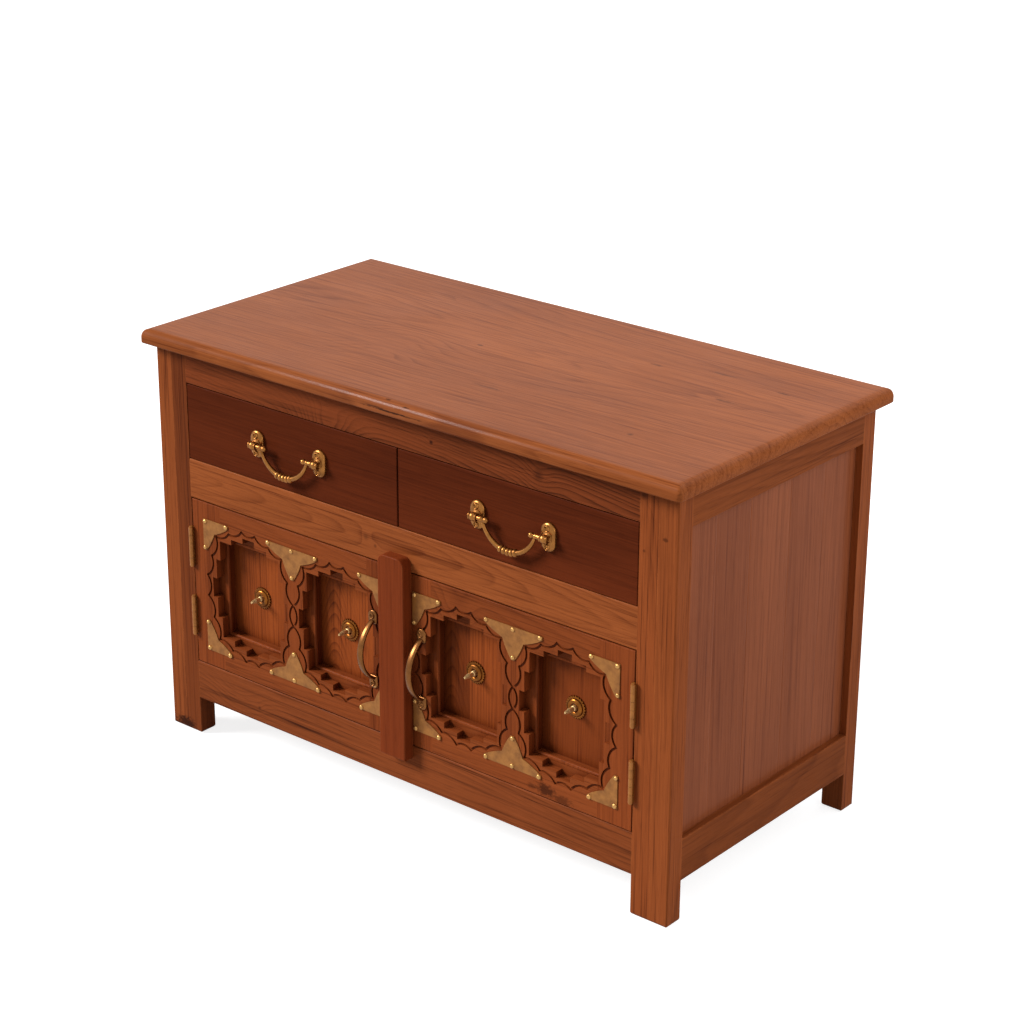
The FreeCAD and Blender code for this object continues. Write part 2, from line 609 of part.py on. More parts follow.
def hinge(side, middle):
    """Frame leaf, door leaf and pin of one butt hinge whose mid-height is middle."""
    low = middle - HINGE_HEIGHT / 2
    pitch = HINGE_HEIGHT / HINGE_KNUCKLES
    axis = V(side * HINGE_X, HINGE_Y, 0)
    foot = axis.add(V(0, 0, low))
    top = axis.add(V(0, 0, low + HINGE_HEIGHT))
    cap = V(0, 0, HINGE_PIN_HEAD_HEIGHT)
    bore = rod(HINGE_PIN_RADIUS + RUNNING_CLEARANCE, foot, top)
    leaves = []
    for turn, own in [(1, 0), (-1, 1)]:
        near = side * (HINGE_X + turn * HINGE_LEAF_GAP / 2)
        leaf = block(
            near, near + side * turn * HINGE_LEAF_THICKNESS,
            HINGE_Y, HINGE_LEAF_REACH, low, low + HINGE_HEIGHT,
        )
        knuckles = []
        spaces = []
        for index in range(HINGE_KNUCKLES):
            ours = index % 2 == own
            margin = HINGE_KNUCKLE_GAP / 2 if ours else -HINGE_KNUCKLE_GAP / 2
            radius = HINGE_KNUCKLE_RADIUS + (0 if ours else HINGE_STAND_OFF)
            start = low + index * pitch + (margin if index else 0)
            end = low + (index + 1) * pitch - (margin if index + 1 < HINGE_KNUCKLES else 0)
            knuckle = rod(radius, axis.add(V(0, 0, start)), axis.add(V(0, 0, end)))
            (knuckles if ours else spaces).append(knuckle)
        leaves.append(without(joined(without(leaf, spaces), *knuckles), [bore]))
    pin = joined(
        rod(HINGE_PIN_RADIUS, foot, top),
        rod(HINGE_PIN_HEAD_RADIUS, top, top.add(cap)),
        rod(HINGE_PIN_HEAD_RADIUS, foot.sub(cap), foot),
    )
    return leaves[0], leaves[1], pin


def hinge_housing(side, turn, middle):
    """Shallow housing that a hinge leaf is let into: turn 1 in the stile, -1 in the door."""
    near = side * (HINGE_X + turn * HINGE_LEAF_GAP / 2)
    half = HINGE_HEIGHT / 2
    return block(
        near, near + side * turn * HINGE_LEAF_THICKNESS,
        LEAF_FRONT - HINGE_STAND_OFF, HINGE_LEAF_REACH, middle - half, middle + half,
    )


def hinge_middles():
    """Mid-heights of the two hinges of a door."""
    middle = DOOR_MIDDLE - HINGE_DROP_FROM_MIDDLE
    return [middle - HINGE_SPACING / 2, middle + HINGE_SPACING / 2]


def stepped_recess(middle_x):
    """Recess round one panel: its edge steps outwards to the middle of each side."""
    half_x = LIGHT_HALF_WIDTH + STEP_REVEAL
    half_z = LIGHT_HALF_HEIGHT + STEP_REVEAL
    front = LEAF_FRONT - STEP_DEPTH
    back = LEAF_FRONT + STEP_DEPTH
    blocks = []
    for level in range((STEP_RUNS + 1) // 2):
        share = (STEP_RUNS - 2 * level) / STEP_RUNS
        rise = level * STEP_RISE
        for wide, tall in [(half_x * share, half_z + rise), (half_x + rise, half_z * share)]:
            blocks.append(block(
                middle_x - wide, middle_x + wide, front, back, DOOR_MIDDLE - tall, DOOR_MIDDLE + tall,
            ))
    return joined(*blocks)


def groove_petal(a, b, bulge):
    """Groove along an arc from a to b that bulges to one side, cut in the door face."""
    chord = b.sub(a)
    half = chord.Length / 2
    radius = (half ** 2 + bulge ** 2) / (2 * bulge)
    across = V(-chord.z, 0, chord.x).normalize()
    middle = a.add(b).multiply(0.5)
    centre = middle.sub(across * (radius - bulge))
    crest = across * radius
    rings = []
    for offset in (GROOVE_WIDTH / 2, -GROOVE_WIDTH / 2):
        scale = (radius + offset) / radius
        ends = [centre.add(point.sub(centre) * scale) for point in (a, b)]
        rings.append((ends[0], centre.add(crest * scale), ends[1]))
    outer, inner = rings
    wire = outline(outer[0], (outer[1], outer[2]), (inner[2],), (inner[1], inner[0]))
    return Part.Face(wire).extrude(V(0, 2 * GROOVE_DEPTH, 0))


def petal_grooves(middle_x):
    """Chain of petals round one panel: cusps rise to the middle of each side."""
    face = LEAF_FRONT - GROOVE_DEPTH
    middle = V(middle_x, face, DOOR_MIDDLE)
    cusps_x = []
    cusps_z = []
    for index in range(PETALS + 1):
        level = min(index, PETALS - index)
        along = 2 * index / PETALS - 1
        cusps_x.append(V(along * PETAL_CORNER_X, 0, PETAL_CORNER_Z + level * PETAL_END_RISE))
        cusps_z.append(V(PETAL_CORNER_X + level * PETAL_SIDE_RISE, 0, along * PETAL_CORNER_Z))
    cutters = []
    for cusps, bulge, turn in [(cusps_x, PETAL_END_BULGE, -1), (cusps_z, PETAL_SIDE_BULGE, 1)]:
        for sign in SIDES.values():
            places = [middle.add(cusp * sign) for cusp in cusps]
            ends = list(zip(places, places[1:]))
            for a, b in ends:
                cutters.append(groove_petal(*((b, a) if turn < 0 else (a, b)), bulge))
            for place in places[1:]:
                cutters.append(rod(GROOVE_WIDTH / 2, place, place.add(V(0, 2 * GROOVE_DEPTH, 0))))
    return cutters


def corner_plate(corner, toward_x, toward_z, cusp_x, foot):
    """Thin plate in a corner: two straight edges, and two lobes that meet in a notch.

    Its tip along X is PLATE_TIP wide and its tip along Z is foot wide.
    """
    cusp_z = LEAF_HIGH - PLATE_END_MARGIN - DOOR_MIDDLE - PETAL_CORNER_Z - PLATE_CARVING_MARGIN
    tip_x = corner.add(V(toward_x * PLATE_LENGTH, 0, 0))
    tip_z = corner.add(V(0, 0, toward_z * PLATE_HEIGHT))
    blunt_x = tip_x.add(V(0, 0, toward_z * PLATE_TIP))
    blunt_z = tip_z.add(V(toward_x * foot, 0, 0))
    cusp = corner.add(V(toward_x * cusp_x, 0, toward_z * cusp_z))
    crests = []
    for tip in (blunt_x, blunt_z):
        middle = tip.add(cusp).multiply(0.5)
        crests.append(middle.add(middle.sub(corner).normalize() * PLATE_BULGE))
    wire = outline(corner, (tip_x,), (blunt_x,), (crests[0], cusp), (crests[1], blunt_z), (tip_z,))
    return Part.Face(wire).extrude(V(0, -PLATE_THICKNESS, 0))


def door_plates(side):
    """Corner and centre plates of one door, and the places of their nails."""
    inner = side * (CENTRE_POST_HALF + PLATE_POST_MARGIN)
    outer = side * (LEAF_EDGE - PLATE_EDGE_MARGIN)
    half = LEAF_HIGH - PLATE_END_MARGIN - DOOR_MIDDLE
    inner_cusp = LIGHT_MIDDLES[0] - PETAL_CORNER_X - PLATE_CARVING_MARGIN - abs(inner)
    outer_cusp = abs(outer) - LIGHT_MIDDLES[1] - PETAL_CORNER_X - PLATE_CARVING_MARGIN
    centre_cusp = MUNTIN_MIDDLE - LIGHT_MIDDLES[0] - PETAL_CORNER_X - PLATE_CARVING_MARGIN
    plates = []
    nails = []
    for rise in SIDES.values():
        level = DOOR_MIDDLE + rise * half
        for x, toward, cusp in [(inner, side, inner_cusp), (outer, -side, outer_cusp)]:
            corner = V(x, LEAF_FRONT, level)
            plates.append(corner_plate(corner, toward, -rise, cusp, PLATE_TIP))
            nails.append(corner.add(V(toward * NAIL_INSET, 0, -rise * NAIL_INSET)))
            nails.append(corner.add(V(toward * (PLATE_LENGTH - NAIL_INSET), 0, -rise * PLATE_TIP / 2)))
            nails.append(corner.add(V(toward * PLATE_TIP / 2, 0, -rise * (PLATE_HEIGHT - NAIL_INSET))))
        corner = V(side * MUNTIN_MIDDLE, LEAF_FRONT, level)
        wings = [corner_plate(corner, toward, -rise, centre_cusp, PLATE_TIP / 2) for toward in SIDES.values()]
        plates.append(joined(*wings))
        nails.append(corner.add(V(0, 0, -rise * NAIL_INSET)))
        nails.append(corner.add(V(0, 0, -rise * (PLATE_HEIGHT - NAIL_INSET))))
        for toward in SIDES.values():
            nails.append(corner.add(V(toward * (PLATE_LENGTH - NAIL_INSET), 0, -rise * PLATE_TIP / 2)))
    return plates, [nail.sub(V(0, PLATE_THICKNESS, 0)) for nail in nails]


def rosette():
    """Toothed disc with a round ring and a pointed pin, its back at y = 0."""
    face = -ROSETTE_THICKNESS
    ring_out = ROSETTE_RING_RADIUS + ROSETTE_RING_ROUND
    ring_in = ROSETTE_RING_RADIUS - ROSETTE_RING_ROUND
    body = turned(outline(
        V(0, 0, 0),
        (V(ROSETTE_RADIUS, 0, 0),),
        (V(ROSETTE_RADIUS, face, 0),),
        (V(ring_out, face, 0),),
        (V(ROSETTE_RING_RADIUS, face - ROSETTE_RING_ROUND, 0), V(ring_in, face, 0)),
        (V(ROSETTE_PIN_RADIUS, face, 0),),
        (V(ROSETTE_PIN_RADIUS, ROSETTE_PIN_POINT - ROSETTE_PIN_LENGTH, 0),),
        (V(0, -ROSETTE_PIN_LENGTH, 0),),
    ))
    notches = []
    for index in range(ROSETTE_TEETH):
        turn = 2 * math.pi * index / ROSETTE_TEETH
        place = V(ROSETTE_RADIUS * math.cos(turn), 0, ROSETTE_RADIUS * math.sin(turn))
        notches.append(rod(ROSETTE_NOTCH_RADIUS, place.add(V(0, face, 0)), place))
    return without(body, notches)


def shield(place, toward):
    """Foot of a pull: straight towards the bow, round at the far end, its back on place."""
    half = PULL_FOOT_WIDTH / 2
    flat = toward * PULL_FOOT_HEIGHT / 2
    turn = toward * (half - PULL_FOOT_HEIGHT / 2)
    wire = outline(
        place.add(V(-half, 0, flat)),
        (place.add(V(half, 0, flat)),),
        (place.add(V(half, 0, turn)),),
        (place.add(V(0, 0, -flat)), place.add(V(-half, 0, turn))),
    )
    return Part.Face(wire).extrude(V(0, -PULL_FOOT_THICKNESS, 0))


def door_pull(place):
    """Bow handle between two feet; place is the middle of its back on the door face.

    The bow is a strap, bent to a crescent, that narrows from its middle to each foot.
    """
    spots = {rise: place.add(V(0, 0, rise * PULL_PITCH / 2)) for rise in SIDES.values()}
    foot = PULL_PITCH / 2 - PULL_FOOT_HEIGHT / 4
    inner = foot - PULL_BOW_END
    half = V(PULL_BOW_WIDTH / 2, 0, 0)
    neck = V(PULL_BOW_NECK / 2, 0, 0)
    up = V(0, 0, foot)
    start = place.sub(half)
    crescent = outline(
        start.sub(up),
        (start.add(V(0, -PULL_REACH, 0)), start.add(up)),
        (start.add(V(0, 0, inner)),),
        (start.add(V(0, PULL_BOW_THICKNESS - PULL_REACH, 0)), start.add(V(0, 0, -inner))),
    )
    strap = outline(
        place.sub(neck).sub(up),
        (start, place.sub(neck).add(up)),
        (place.add(neck).add(up),),
        (place.add(half), place.add(neck).sub(up)),
    )
    bow = Part.Face(crescent).extrude(half * 2).common(Part.Face(strap).extrude(V(0, -PULL_REACH, 0)))
    bow = bow.makeFillet(PULL_BOW_ARRIS, [e for e in bow.Edges if e.Length > foot])
    feet = [shield(spot, -rise) for rise, spot in spots.items()]
    seats = [
        rod(
            PULL_SCREW_HEAD_RADIUS + FIXING_CLEARANCE,
            spot.sub(V(0, PULL_FOOT_THICKNESS, 0)), spot.sub(V(0, PULL_REACH, 0)),
        )
        for spot in spots.values()
    ]
    return without(joined(bow, *feet), seats)


def door(name, side):
    """One door: frame, panels, carving, plates, nails, rosettes, pull and hinge leaves."""
    lock_edge = -CENTRE_POST_HALF + (CENTRE_POST_COVER if side > 0 else -CENTRE_POST_GAP)
    lights = [side * middle for middle in LIGHT_MIDDLES]
    panels = [
        block(
            middle - LIGHT_HALF_WIDTH - DOOR_PANEL_TONGUE, middle + LIGHT_HALF_WIDTH + DOOR_PANEL_TONGUE,
            PANEL_FRONT, PANEL_BACK, LIGHT_LOW - DOOR_PANEL_TONGUE, LIGHT_HIGH + DOOR_PANEL_TONGUE,
        )
        for middle in lights
    ]
    hinge_stile = eased(
        block(side * LIGHT_OUTER, side * LEAF_EDGE, LEAF_FRONT, LEAF_BACK, LEAF_LOW, LEAF_HIGH), DOOR_ARRIS,
        {"x": side * LEAF_EDGE, "y": LEAF_FRONT},
        {"y": LEAF_FRONT, "z": LEAF_LOW}, {"y": LEAF_FRONT, "z": LEAF_HIGH},
    )
    plan = outline(
        V(side * DOOR_LOCK_MARGIN, LEAF_FRONT, LEAF_LOW),
        (V(lock_edge, LEAF_FRONT, LEAF_LOW),),
        (V(lock_edge + side * DOOR_LOCK_BEVEL, LEAF_BACK, LEAF_LOW),),
        (V(side * DOOR_LOCK_MARGIN, LEAF_BACK, LEAF_LOW),),
    )
    lock_stile = eased(
        Part.Face(plan).extrude(V(0, 0, LEAF_HIGH - LEAF_LOW)), DOOR_ARRIS,
        {"y": LEAF_FRONT, "z": LEAF_LOW}, {"y": LEAF_FRONT, "z": LEAF_HIGH},
    )
    rails = []
    for low, high, outside in [(LEAF_LOW, LIGHT_LOW, LEAF_LOW), (LIGHT_HIGH, LEAF_HIGH, LEAF_HIGH)]:
        body = eased(
            block(side * DOOR_LOCK_MARGIN, side * LIGHT_OUTER, LEAF_FRONT, LEAF_BACK, low, high), DOOR_ARRIS,
            {"y": LEAF_FRONT, "z": outside},
        )
        tenon = block(
            side * (DOOR_LOCK_MARGIN - DOOR_TENON_LENGTH), side * (LIGHT_OUTER + DOOR_TENON_LENGTH),
            PANEL_FRONT, PANEL_BACK, low + DOOR_TENON_SHOULDER, high - DOOR_TENON_SHOULDER,
        )
        rails.append(joined(body, tenon))
    muntin_half = DOOR_MUNTIN_WIDTH / 2
    centre = side * MUNTIN_MIDDLE
    tongue = muntin_half - DOOR_TENON_SHOULDER
    muntin = joined(
        block(centre - muntin_half, centre + muntin_half, LEAF_FRONT, LEAF_BACK, LIGHT_LOW, LIGHT_HIGH),
        block(
            centre - tongue, centre + tongue, PANEL_FRONT, PANEL_BACK,
            LIGHT_LOW - DOOR_TENON_LENGTH, LIGHT_HIGH + DOOR_TENON_LENGTH,
        ),
    )
    plates, nail_spots = door_plates(side)
    pull_place = V(side * PULL_FROM_CENTRE[name], LEAF_FRONT, PULL_Z)
    pull = door_pull(pull_place)
    screw_spots = [
        pull_place.add(V(0, -PULL_FOOT_THICKNESS, rise * PULL_PITCH / 2)) for rise in SIDES.values()
    ]
    nail_holes = [stud_hole(NAIL_RADIUS, NAIL_LENGTH, spot) for spot in nail_spots]
    screw_holes = [stud_hole(PULL_SCREW_RADIUS, PULL_SCREW_LENGTH, spot) for spot in screw_spots]
    nail = stud(NAIL_HEAD_RADIUS, NAIL_HEAD_HEIGHT, NAIL_RADIUS, NAIL_LENGTH)
    screw = stud(PULL_SCREW_HEAD_RADIUS, PULL_SCREW_HEAD_HEIGHT, PULL_SCREW_RADIUS, PULL_SCREW_LENGTH)
    housings = [hinge_housing(side, -1, middle) for middle in hinge_middles()]
    carving = [stepped_recess(middle) for middle in lights]
    for middle in lights:
        carving += petal_grooves(middle)
    cuts = panels + nail_holes + screw_holes + carving
    rosette_spots = [
        V(middle, PANEL_FRONT, DOOR_MIDDLE - drop) for middle, drop in zip(lights, ROSETTE_DROPS[name])
    ]
    disc = rosette()
    return {
        "%s_door_hinge_stile" % name: without(hinge_stile, cuts + rails + housings),
        "%s_door_lock_stile" % name: without(lock_stile, cuts + rails),
        "%s_door_rails" % name: group(without(rail, cuts + [muntin]) for rail in rails),
        "%s_door_muntin" % name: without(muntin, cuts),
        "%s_door_panels" % name: group(panels),
        "%s_corner_plates" % name: group(without(plate, nail_holes + [pull]) for plate in plates),
        "%s_door_fixings" % name: group(
            [nail.translated(spot) for spot in nail_spots] + [screw.translated(spot) for spot in screw_spots]
        ),
        "%s_rosettes" % name: group(disc.translated(spot) for spot in rosette_spots),
        "%s_door_pull" % name: without(pull, screw_holes),
    }


def centre_post():
    """Batten on the right door that covers the joint between the two doors."""
    low = DOOR_LOW - CENTRE_POST_DOWN
    high = DOOR_HIGH + CENTRE_POST_UP
    front = LEAF_FRONT - CENTRE_POST_THICKNESS
    half = CENTRE_POST_HALF
    post = block(-half, half, front, LEAF_FRONT, low, high)
    post = eased(post, CENTRE_POST_ROUNDING, {"x": -half, "z": high}, {"x": half, "z": high})
    return post.makeFillet(
        CENTRE_POST_ARRIS, [e for e in post.Edges if matches(e.CenterOfMass, {"y": front})]
    )


def cabinet():
    """Every node of the cabinet by name."""
    pieces = case_frame()
    pieces["top_board"] = top_board()
    drawer_housing(pieces)
    frame_leaves = []
    pins = []
    for name, side in SIDES.items():
        for node, shape in drawer(side).items():
            pieces["%s_%s" % (name, node)] = shape
        pieces.update(door(name, side))
        hinges = [hinge(side, middle) for middle in hinge_middles()]
        stile = "front_%s_stile" % name
        housings = [hinge_housing(side, 1, middle) for middle in hinge_middles()]
        pieces[stile] = without(pieces[stile], housings)
        pieces["%s_door_hinge_leaves" % name] = group(leaf for _, leaf, _ in hinges)
        frame_leaves += [leaf for leaf, _, _ in hinges]
        pins += [pin for _, _, pin in hinges]
    pieces["centre_post"] = centre_post()
    pieces["hinge_frame_leaves"] = group(frame_leaves)
    pieces["hinge_pins"] = group(pins)
    return pieces


os.makedirs("parts", exist_ok=True)
for node, shape in cabinet().items():
    shape.translated(ORIGIN_SHIFT).exportStep("parts/%s.step" % node)
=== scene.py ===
"""Looks of the carved storage cabinet: woods, brass, carved mouldings, floor, light and camera.

Metres, +Z up, front towards -Y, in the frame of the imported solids. New pieces are surfaces
worked out as whole arrays; the solids that stay get woods and metals of their own.
"""
import bmesh
import bpy
import math
import numpy as np
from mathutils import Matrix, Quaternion, Vector


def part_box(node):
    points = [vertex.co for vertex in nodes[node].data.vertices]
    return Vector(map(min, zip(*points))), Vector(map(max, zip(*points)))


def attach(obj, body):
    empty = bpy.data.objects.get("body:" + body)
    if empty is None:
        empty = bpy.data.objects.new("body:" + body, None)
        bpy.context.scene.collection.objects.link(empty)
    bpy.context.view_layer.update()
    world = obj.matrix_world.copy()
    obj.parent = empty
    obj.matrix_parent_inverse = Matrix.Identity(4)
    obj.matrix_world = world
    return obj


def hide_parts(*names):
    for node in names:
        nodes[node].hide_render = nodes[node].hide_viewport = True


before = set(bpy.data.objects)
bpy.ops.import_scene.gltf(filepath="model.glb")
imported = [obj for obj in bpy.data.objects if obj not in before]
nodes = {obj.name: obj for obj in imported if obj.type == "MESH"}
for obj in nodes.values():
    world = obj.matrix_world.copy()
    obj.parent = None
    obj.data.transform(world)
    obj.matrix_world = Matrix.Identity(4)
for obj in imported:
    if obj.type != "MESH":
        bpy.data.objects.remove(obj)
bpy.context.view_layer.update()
TAU = 2 * math.pi
SIDES = {"left": -1, "right": 1}
FORWARD = (0, -1, 0)
DOUBLES = 1e-6
SLIVERS = 1e-7


def corners(node):
    """Lowest and highest corner of a solid, as arrays."""
    low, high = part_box(node)
    return np.array(low), np.array(high)


# Meshes
def grid_faces(rows, columns, wrap_rows=False, wrap_columns=False):
    """Quads between neighbours of a grid of rows by columns.

    A wrapped way joins its last line to its first.
    """
    row, column = np.meshgrid(
        np.arange(rows if wrap_rows else rows - 1),
        np.arange(columns if wrap_columns else columns - 1),
        indexing="ij",
    )
    below, beside = (row + 1) % rows, (column + 1) % columns
    quads = [(row, column), (below, column), (below, beside), (row, beside)]
    return np.stack([line * columns + place for line, place in quads], -1).reshape(-1, 4)


def tube(rings):
    """Closed skin over rings of points, an array of rings by points by 3, with a flat face on each end."""
    count, around = rings.shape[:2]
    faces = grid_faces(count, around, wrap_columns=True).tolist()
    faces.append(list(range(around))[::-1])
    faces.append(list(range((count - 1) * around, count * around)))
    return rings.reshape(-1, 3), faces


def hoop(rings):
    """Closed skin over rings of points that come back to the first ring."""
    count, around = rings.shape[:2]
    return rings.reshape(-1, 3), grid_faces(count, around, wrap_rows=True, wrap_columns=True).tolist()


def piece(name, body, finish, shells, hides=(), sharp=35.0):
    """One object from closed skins: doubles merged, faces outwards, crisp where edges pass an angle."""
    points = []
    faces = []
    start = 0
    for skin, quads in shells:
        points.append(skin)
        faces += [[index + start for index in quad] for quad in quads]
        start += len(skin)
    mesh = bpy.data.meshes.new(name)
    mesh.from_pydata(np.concatenate(points).tolist(), [], faces)
    work = bmesh.new()
    work.from_mesh(mesh)
    bmesh.ops.remove_doubles(work, verts=work.verts, dist=DOUBLES)
    bmesh.ops.dissolve_degenerate(work, edges=work.edges, dist=SLIVERS)
    bmesh.ops.recalc_face_normals(work, faces=work.faces)
    work.to_mesh(mesh)
    work.free()
    mesh.shade_smooth()
    mesh.set_sharp_from_angle(angle=math.radians(sharp))
    mesh.materials.append(finish)
    made = bpy.data.objects.new(name, mesh)
    bpy.context.scene.collection.objects.link(made)
    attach(made, body)
    if hides:
        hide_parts(*hides)
    return made


# Shader nodes
def put(tree, socket, value):
    """Feeds a socket from another one, or sets it to a number, a vector or a colour."""
    if isinstance(value, bpy.types.NodeSocket):
        tree.links.new(value, socket)
    else:
        socket.default_value = value


def add(tree, kind, inputs=None, **settings):
    """One node with its settings; an input is a number, a colour or the socket that feeds it."""
    made = tree.nodes.new(kind)
    for name, value in settings.items():
        setattr(made, name, value)
    for name, value in (inputs or {}).items():
        put(tree, made.inputs[name], value)
    return made


def sums(tree, operation, *values, clamp=False):
    """Result of a Math node on numbers or sockets."""
    made = add(tree, "ShaderNodeMath", dict(enumerate(values)), operation=operation, use_clamp=clamp)
    return made.outputs[0]


def vectors(tree, operation, *values):
    """Vector Math node on vectors or sockets."""
    return add(tree, "ShaderNodeVectorMath", dict(enumerate(values)), operation=operation)


def spread(tree, value, low, high, to_low=0.0, to_high=1.0):
    """A value carried from one range to another and held at its ends."""
    inputs = {"Value": value, "From Min": low, "From Max": high, "To Min": to_low, "To Max": to_high}
    return add(tree, "ShaderNodeMapRange", inputs).outputs["Result"]


def blend_colour(tree, share, first, second, mode="MIX"):
    """Second colour laid over the first by a share."""
    inputs = {0: share, 6: first, 7: second}
    return add(tree, "ShaderNodeMix", inputs, data_type="RGBA", blend_type=mode).outputs[2]


def bell(tree, off):
    """Bell curve of a distance: e to the power of minus its square."""
    return sums(tree, "POWER", math.e, sums(tree, "MULTIPLY", sums(tree, "MULTIPLY", off, off), -1.0))


def facing_up(tree):
    """How far a surface faces upwards: the height part of its normal."""
    normal = add(tree, "ShaderNodeNewGeometry").outputs["Normal"]
    return add(tree, "ShaderNodeSeparateXYZ", {0: normal}).outputs["Z"]


def noise(tree, place, stretch, detail=2.0, roughness=0.5):
    """Noise node whose cells are as many a metre along each axis as stretch gives."""
    scaled = vectors(tree, "MULTIPLY", place, stretch).outputs[0]
    inputs = {"Vector": scaled, "Scale": 1.0, "Detail": detail, "Roughness": roughness}
    return add(tree, "ShaderNodeTexNoise", inputs)


def colour(red, green, blue):
    """Opaque linear colour from values of 0 to 255 as a screen shows them."""
    share = np.array([red, green, blue]) / 255.0
    line = np.where(share <= 0.04045, share / 12.92, ((share + 0.055) / 1.055) ** 2.4)
    return (*line.tolist(), 1.0)


def shader_group(name, inputs, outputs):
    """Empty node group; inputs are name, kind and first value, outputs name and kind."""
    tree = bpy.data.node_groups.new(name, "ShaderNodeTree")
    for label, kind, value in inputs:
        socket = tree.interface.new_socket(label, in_out="INPUT", socket_type="NodeSocket" + kind)
        socket.default_value = value
    for label, kind in outputs:
        tree.interface.new_socket(label, in_out="OUTPUT", socket_type="NodeSocket" + kind)
    return tree, tree.nodes.new("NodeGroupInput").outputs, tree.nodes.new("NodeGroupOutput").inputs


def wood_grain():
    """Solid wood: year rings round the X axis, with fibres, dark vessels, pores and a slow change of tone.

    The rings are the distance from that axis, pushed about by slow noise and by knots and
    opened along X by the taper; a saw wave of that distance darkens towards each late-wood line.
    """
    tree, given, result = shader_group(
        "wood_grain",
        [
            ("Place", "Vector", (0, 0, 0)),
            ("Light", "Color", (0.5, 0.2, 0.1, 1)), ("Dark", "Color", (0.2, 0.05, 0.02, 1)),
            ("Ring Width", "Float", 0.006), ("Taper", "Float", 0.02), ("Wander", "Float", 0.02),
            ("Push", "Float", 0.0), ("Rings", "Float", 0.5), ("Fibres", "Float", 0.5),
            ("Streaks", "Float", 0.35), ("Pores", "Float", 0.4), ("Tone", "Float", 0.5),
        ],
        [("Color", "Color"), ("Grain", "Float")],
    )
    place = given["Place"]
    slow = noise(tree, place, (1.3, 8.0, 8.0), 3.0).outputs["Color"]
    push = vectors(tree, "SUBTRACT", slow, (0.5, 0.5, 0.5)).outputs[0]
    wander = {0: push, "Scale": given["Wander"]}
    push = add(tree, "ShaderNodeVectorMath", wander, operation="SCALE").outputs[0]
    away = vectors(tree, "ADD", place, push).outputs[0]
    away = vectors(tree, "MULTIPLY", away, (0, 1, 1)).outputs[0]
    distance = vectors(tree, "LENGTH", away).outputs["Value"]
    along = add(tree, "ShaderNodeSeparateXYZ", {0: place}).outputs[0]
    opened = sums(tree, "MULTIPLY_ADD", along, given["Taper"], given["Push"])
    count = sums(tree, "DIVIDE", sums(tree, "ADD", distance, opened), given["Ring Width"])
    years = {"W": count, "Scale": 0.37, "Detail": 1.0}
    uneven = add(tree, "ShaderNodeTexNoise", years, noise_dimensions="1D")
    count = sums(tree, "MULTIPLY_ADD", uneven.outputs[0], 1.8, count)
    saw = sums(tree, "FRACT", count)
    late = sums(tree, "MULTIPLY", sums(tree, "POWER", saw, 3.0), spread(tree, saw, 0.9, 1.0, 1.0, 0.0))
    fade = noise(tree, place, (2.0, 22.0, 22.0), 2.0).outputs[0]
    late = sums(tree, "MULTIPLY", late, spread(tree, fade, 0.36, 0.62, 0.15, 1.0))
    vessel = noise(tree, place, (3.0, 190.0, 190.0), 3.0, 0.65).outputs[0]
    hair = noise(tree, place, (4.5, 460.0, 460.0), 2.0, 0.5).outputs[0]
    dark_lines = sums(tree, "ADD", spread(tree, vessel, 0.54, 0.72), spread(tree, hair, 0.60, 0.70))
    streak = sums(tree, "MULTIPLY", dark_lines, given["Streaks"])
    fibre = noise(tree, place, (9.0, 420.0, 420.0), 3.0, 0.6).outputs[0]
    fine = noise(tree, place, (30.0, 1500.0, 1500.0), 2.0).outputs[0]
    pores = spread(tree, fine, 0.60, 0.70)
    tone = noise(tree, place, (2.0, 14.0, 14.0), 3.0).outputs[0]
    patch = sums(tree, "MULTIPLY", sums(tree, "SUBTRACT", tone, 0.5), given["Tone"])
    lines = sums(tree, "MULTIPLY", sums(tree, "SUBTRACT", fibre, 0.5), given["Fibres"])
    share = sums(tree, "ADD", sums(tree, "MULTIPLY_ADD", late, given["Rings"], 0.25), streak)
    share = sums(tree, "ADD", sums(tree, "ADD", share, patch), lines, clamp=True)
    wood = blend_colour(tree, share, given["Light"], given["Dark"])
    deep = blend_colour(tree, 1.0, given["Dark"], (0.45, 0.38, 0.35, 1), "MULTIPLY")
    wood = blend_colour(tree, sums(tree, "MULTIPLY", pores, given["Pores"]), wood, deep)
    tree.links.new(wood, result["Color"])
    grain = sums(tree, "ADD", sums(tree, "MULTIPLY", late, 0.4), sums(tree, "MULTIPLY", fine, 0.6))
    tree.links.new(grain, result["Grain"])
    return tree


def edge_wear():
    """Mask of worn arrises: where a rounded normal leaves the flat one, broken up by noise."""
    tree, given, result = shader_group(
        "edge_wear",
        [("Place", "Vector", (0, 0, 0)), ("Reach", "Float", 0.002)],
        [("Edge", "Float")],
    )
    rounded = add(tree, "ShaderNodeBevel", {"Radius": given["Reach"]}, samples=4).outputs[0]
    flat = add(tree, "ShaderNodeNewGeometry").outputs["Normal"]
    turn = sums(tree, "SUBTRACT", 1.0, vectors(tree, "DOT_PRODUCT", rounded, flat).outputs["Value"])
    broken = noise(tree, given["Place"], (60.0, 60.0, 60.0), 3.0, 0.6).outputs[0]
    edge = sums(tree, "MULTIPLY", spread(tree, turn, 0.01, 0.12), spread(tree, broken, 0.35, 0.65))
    tree.links.new(edge, result["Edge"])
    return tree


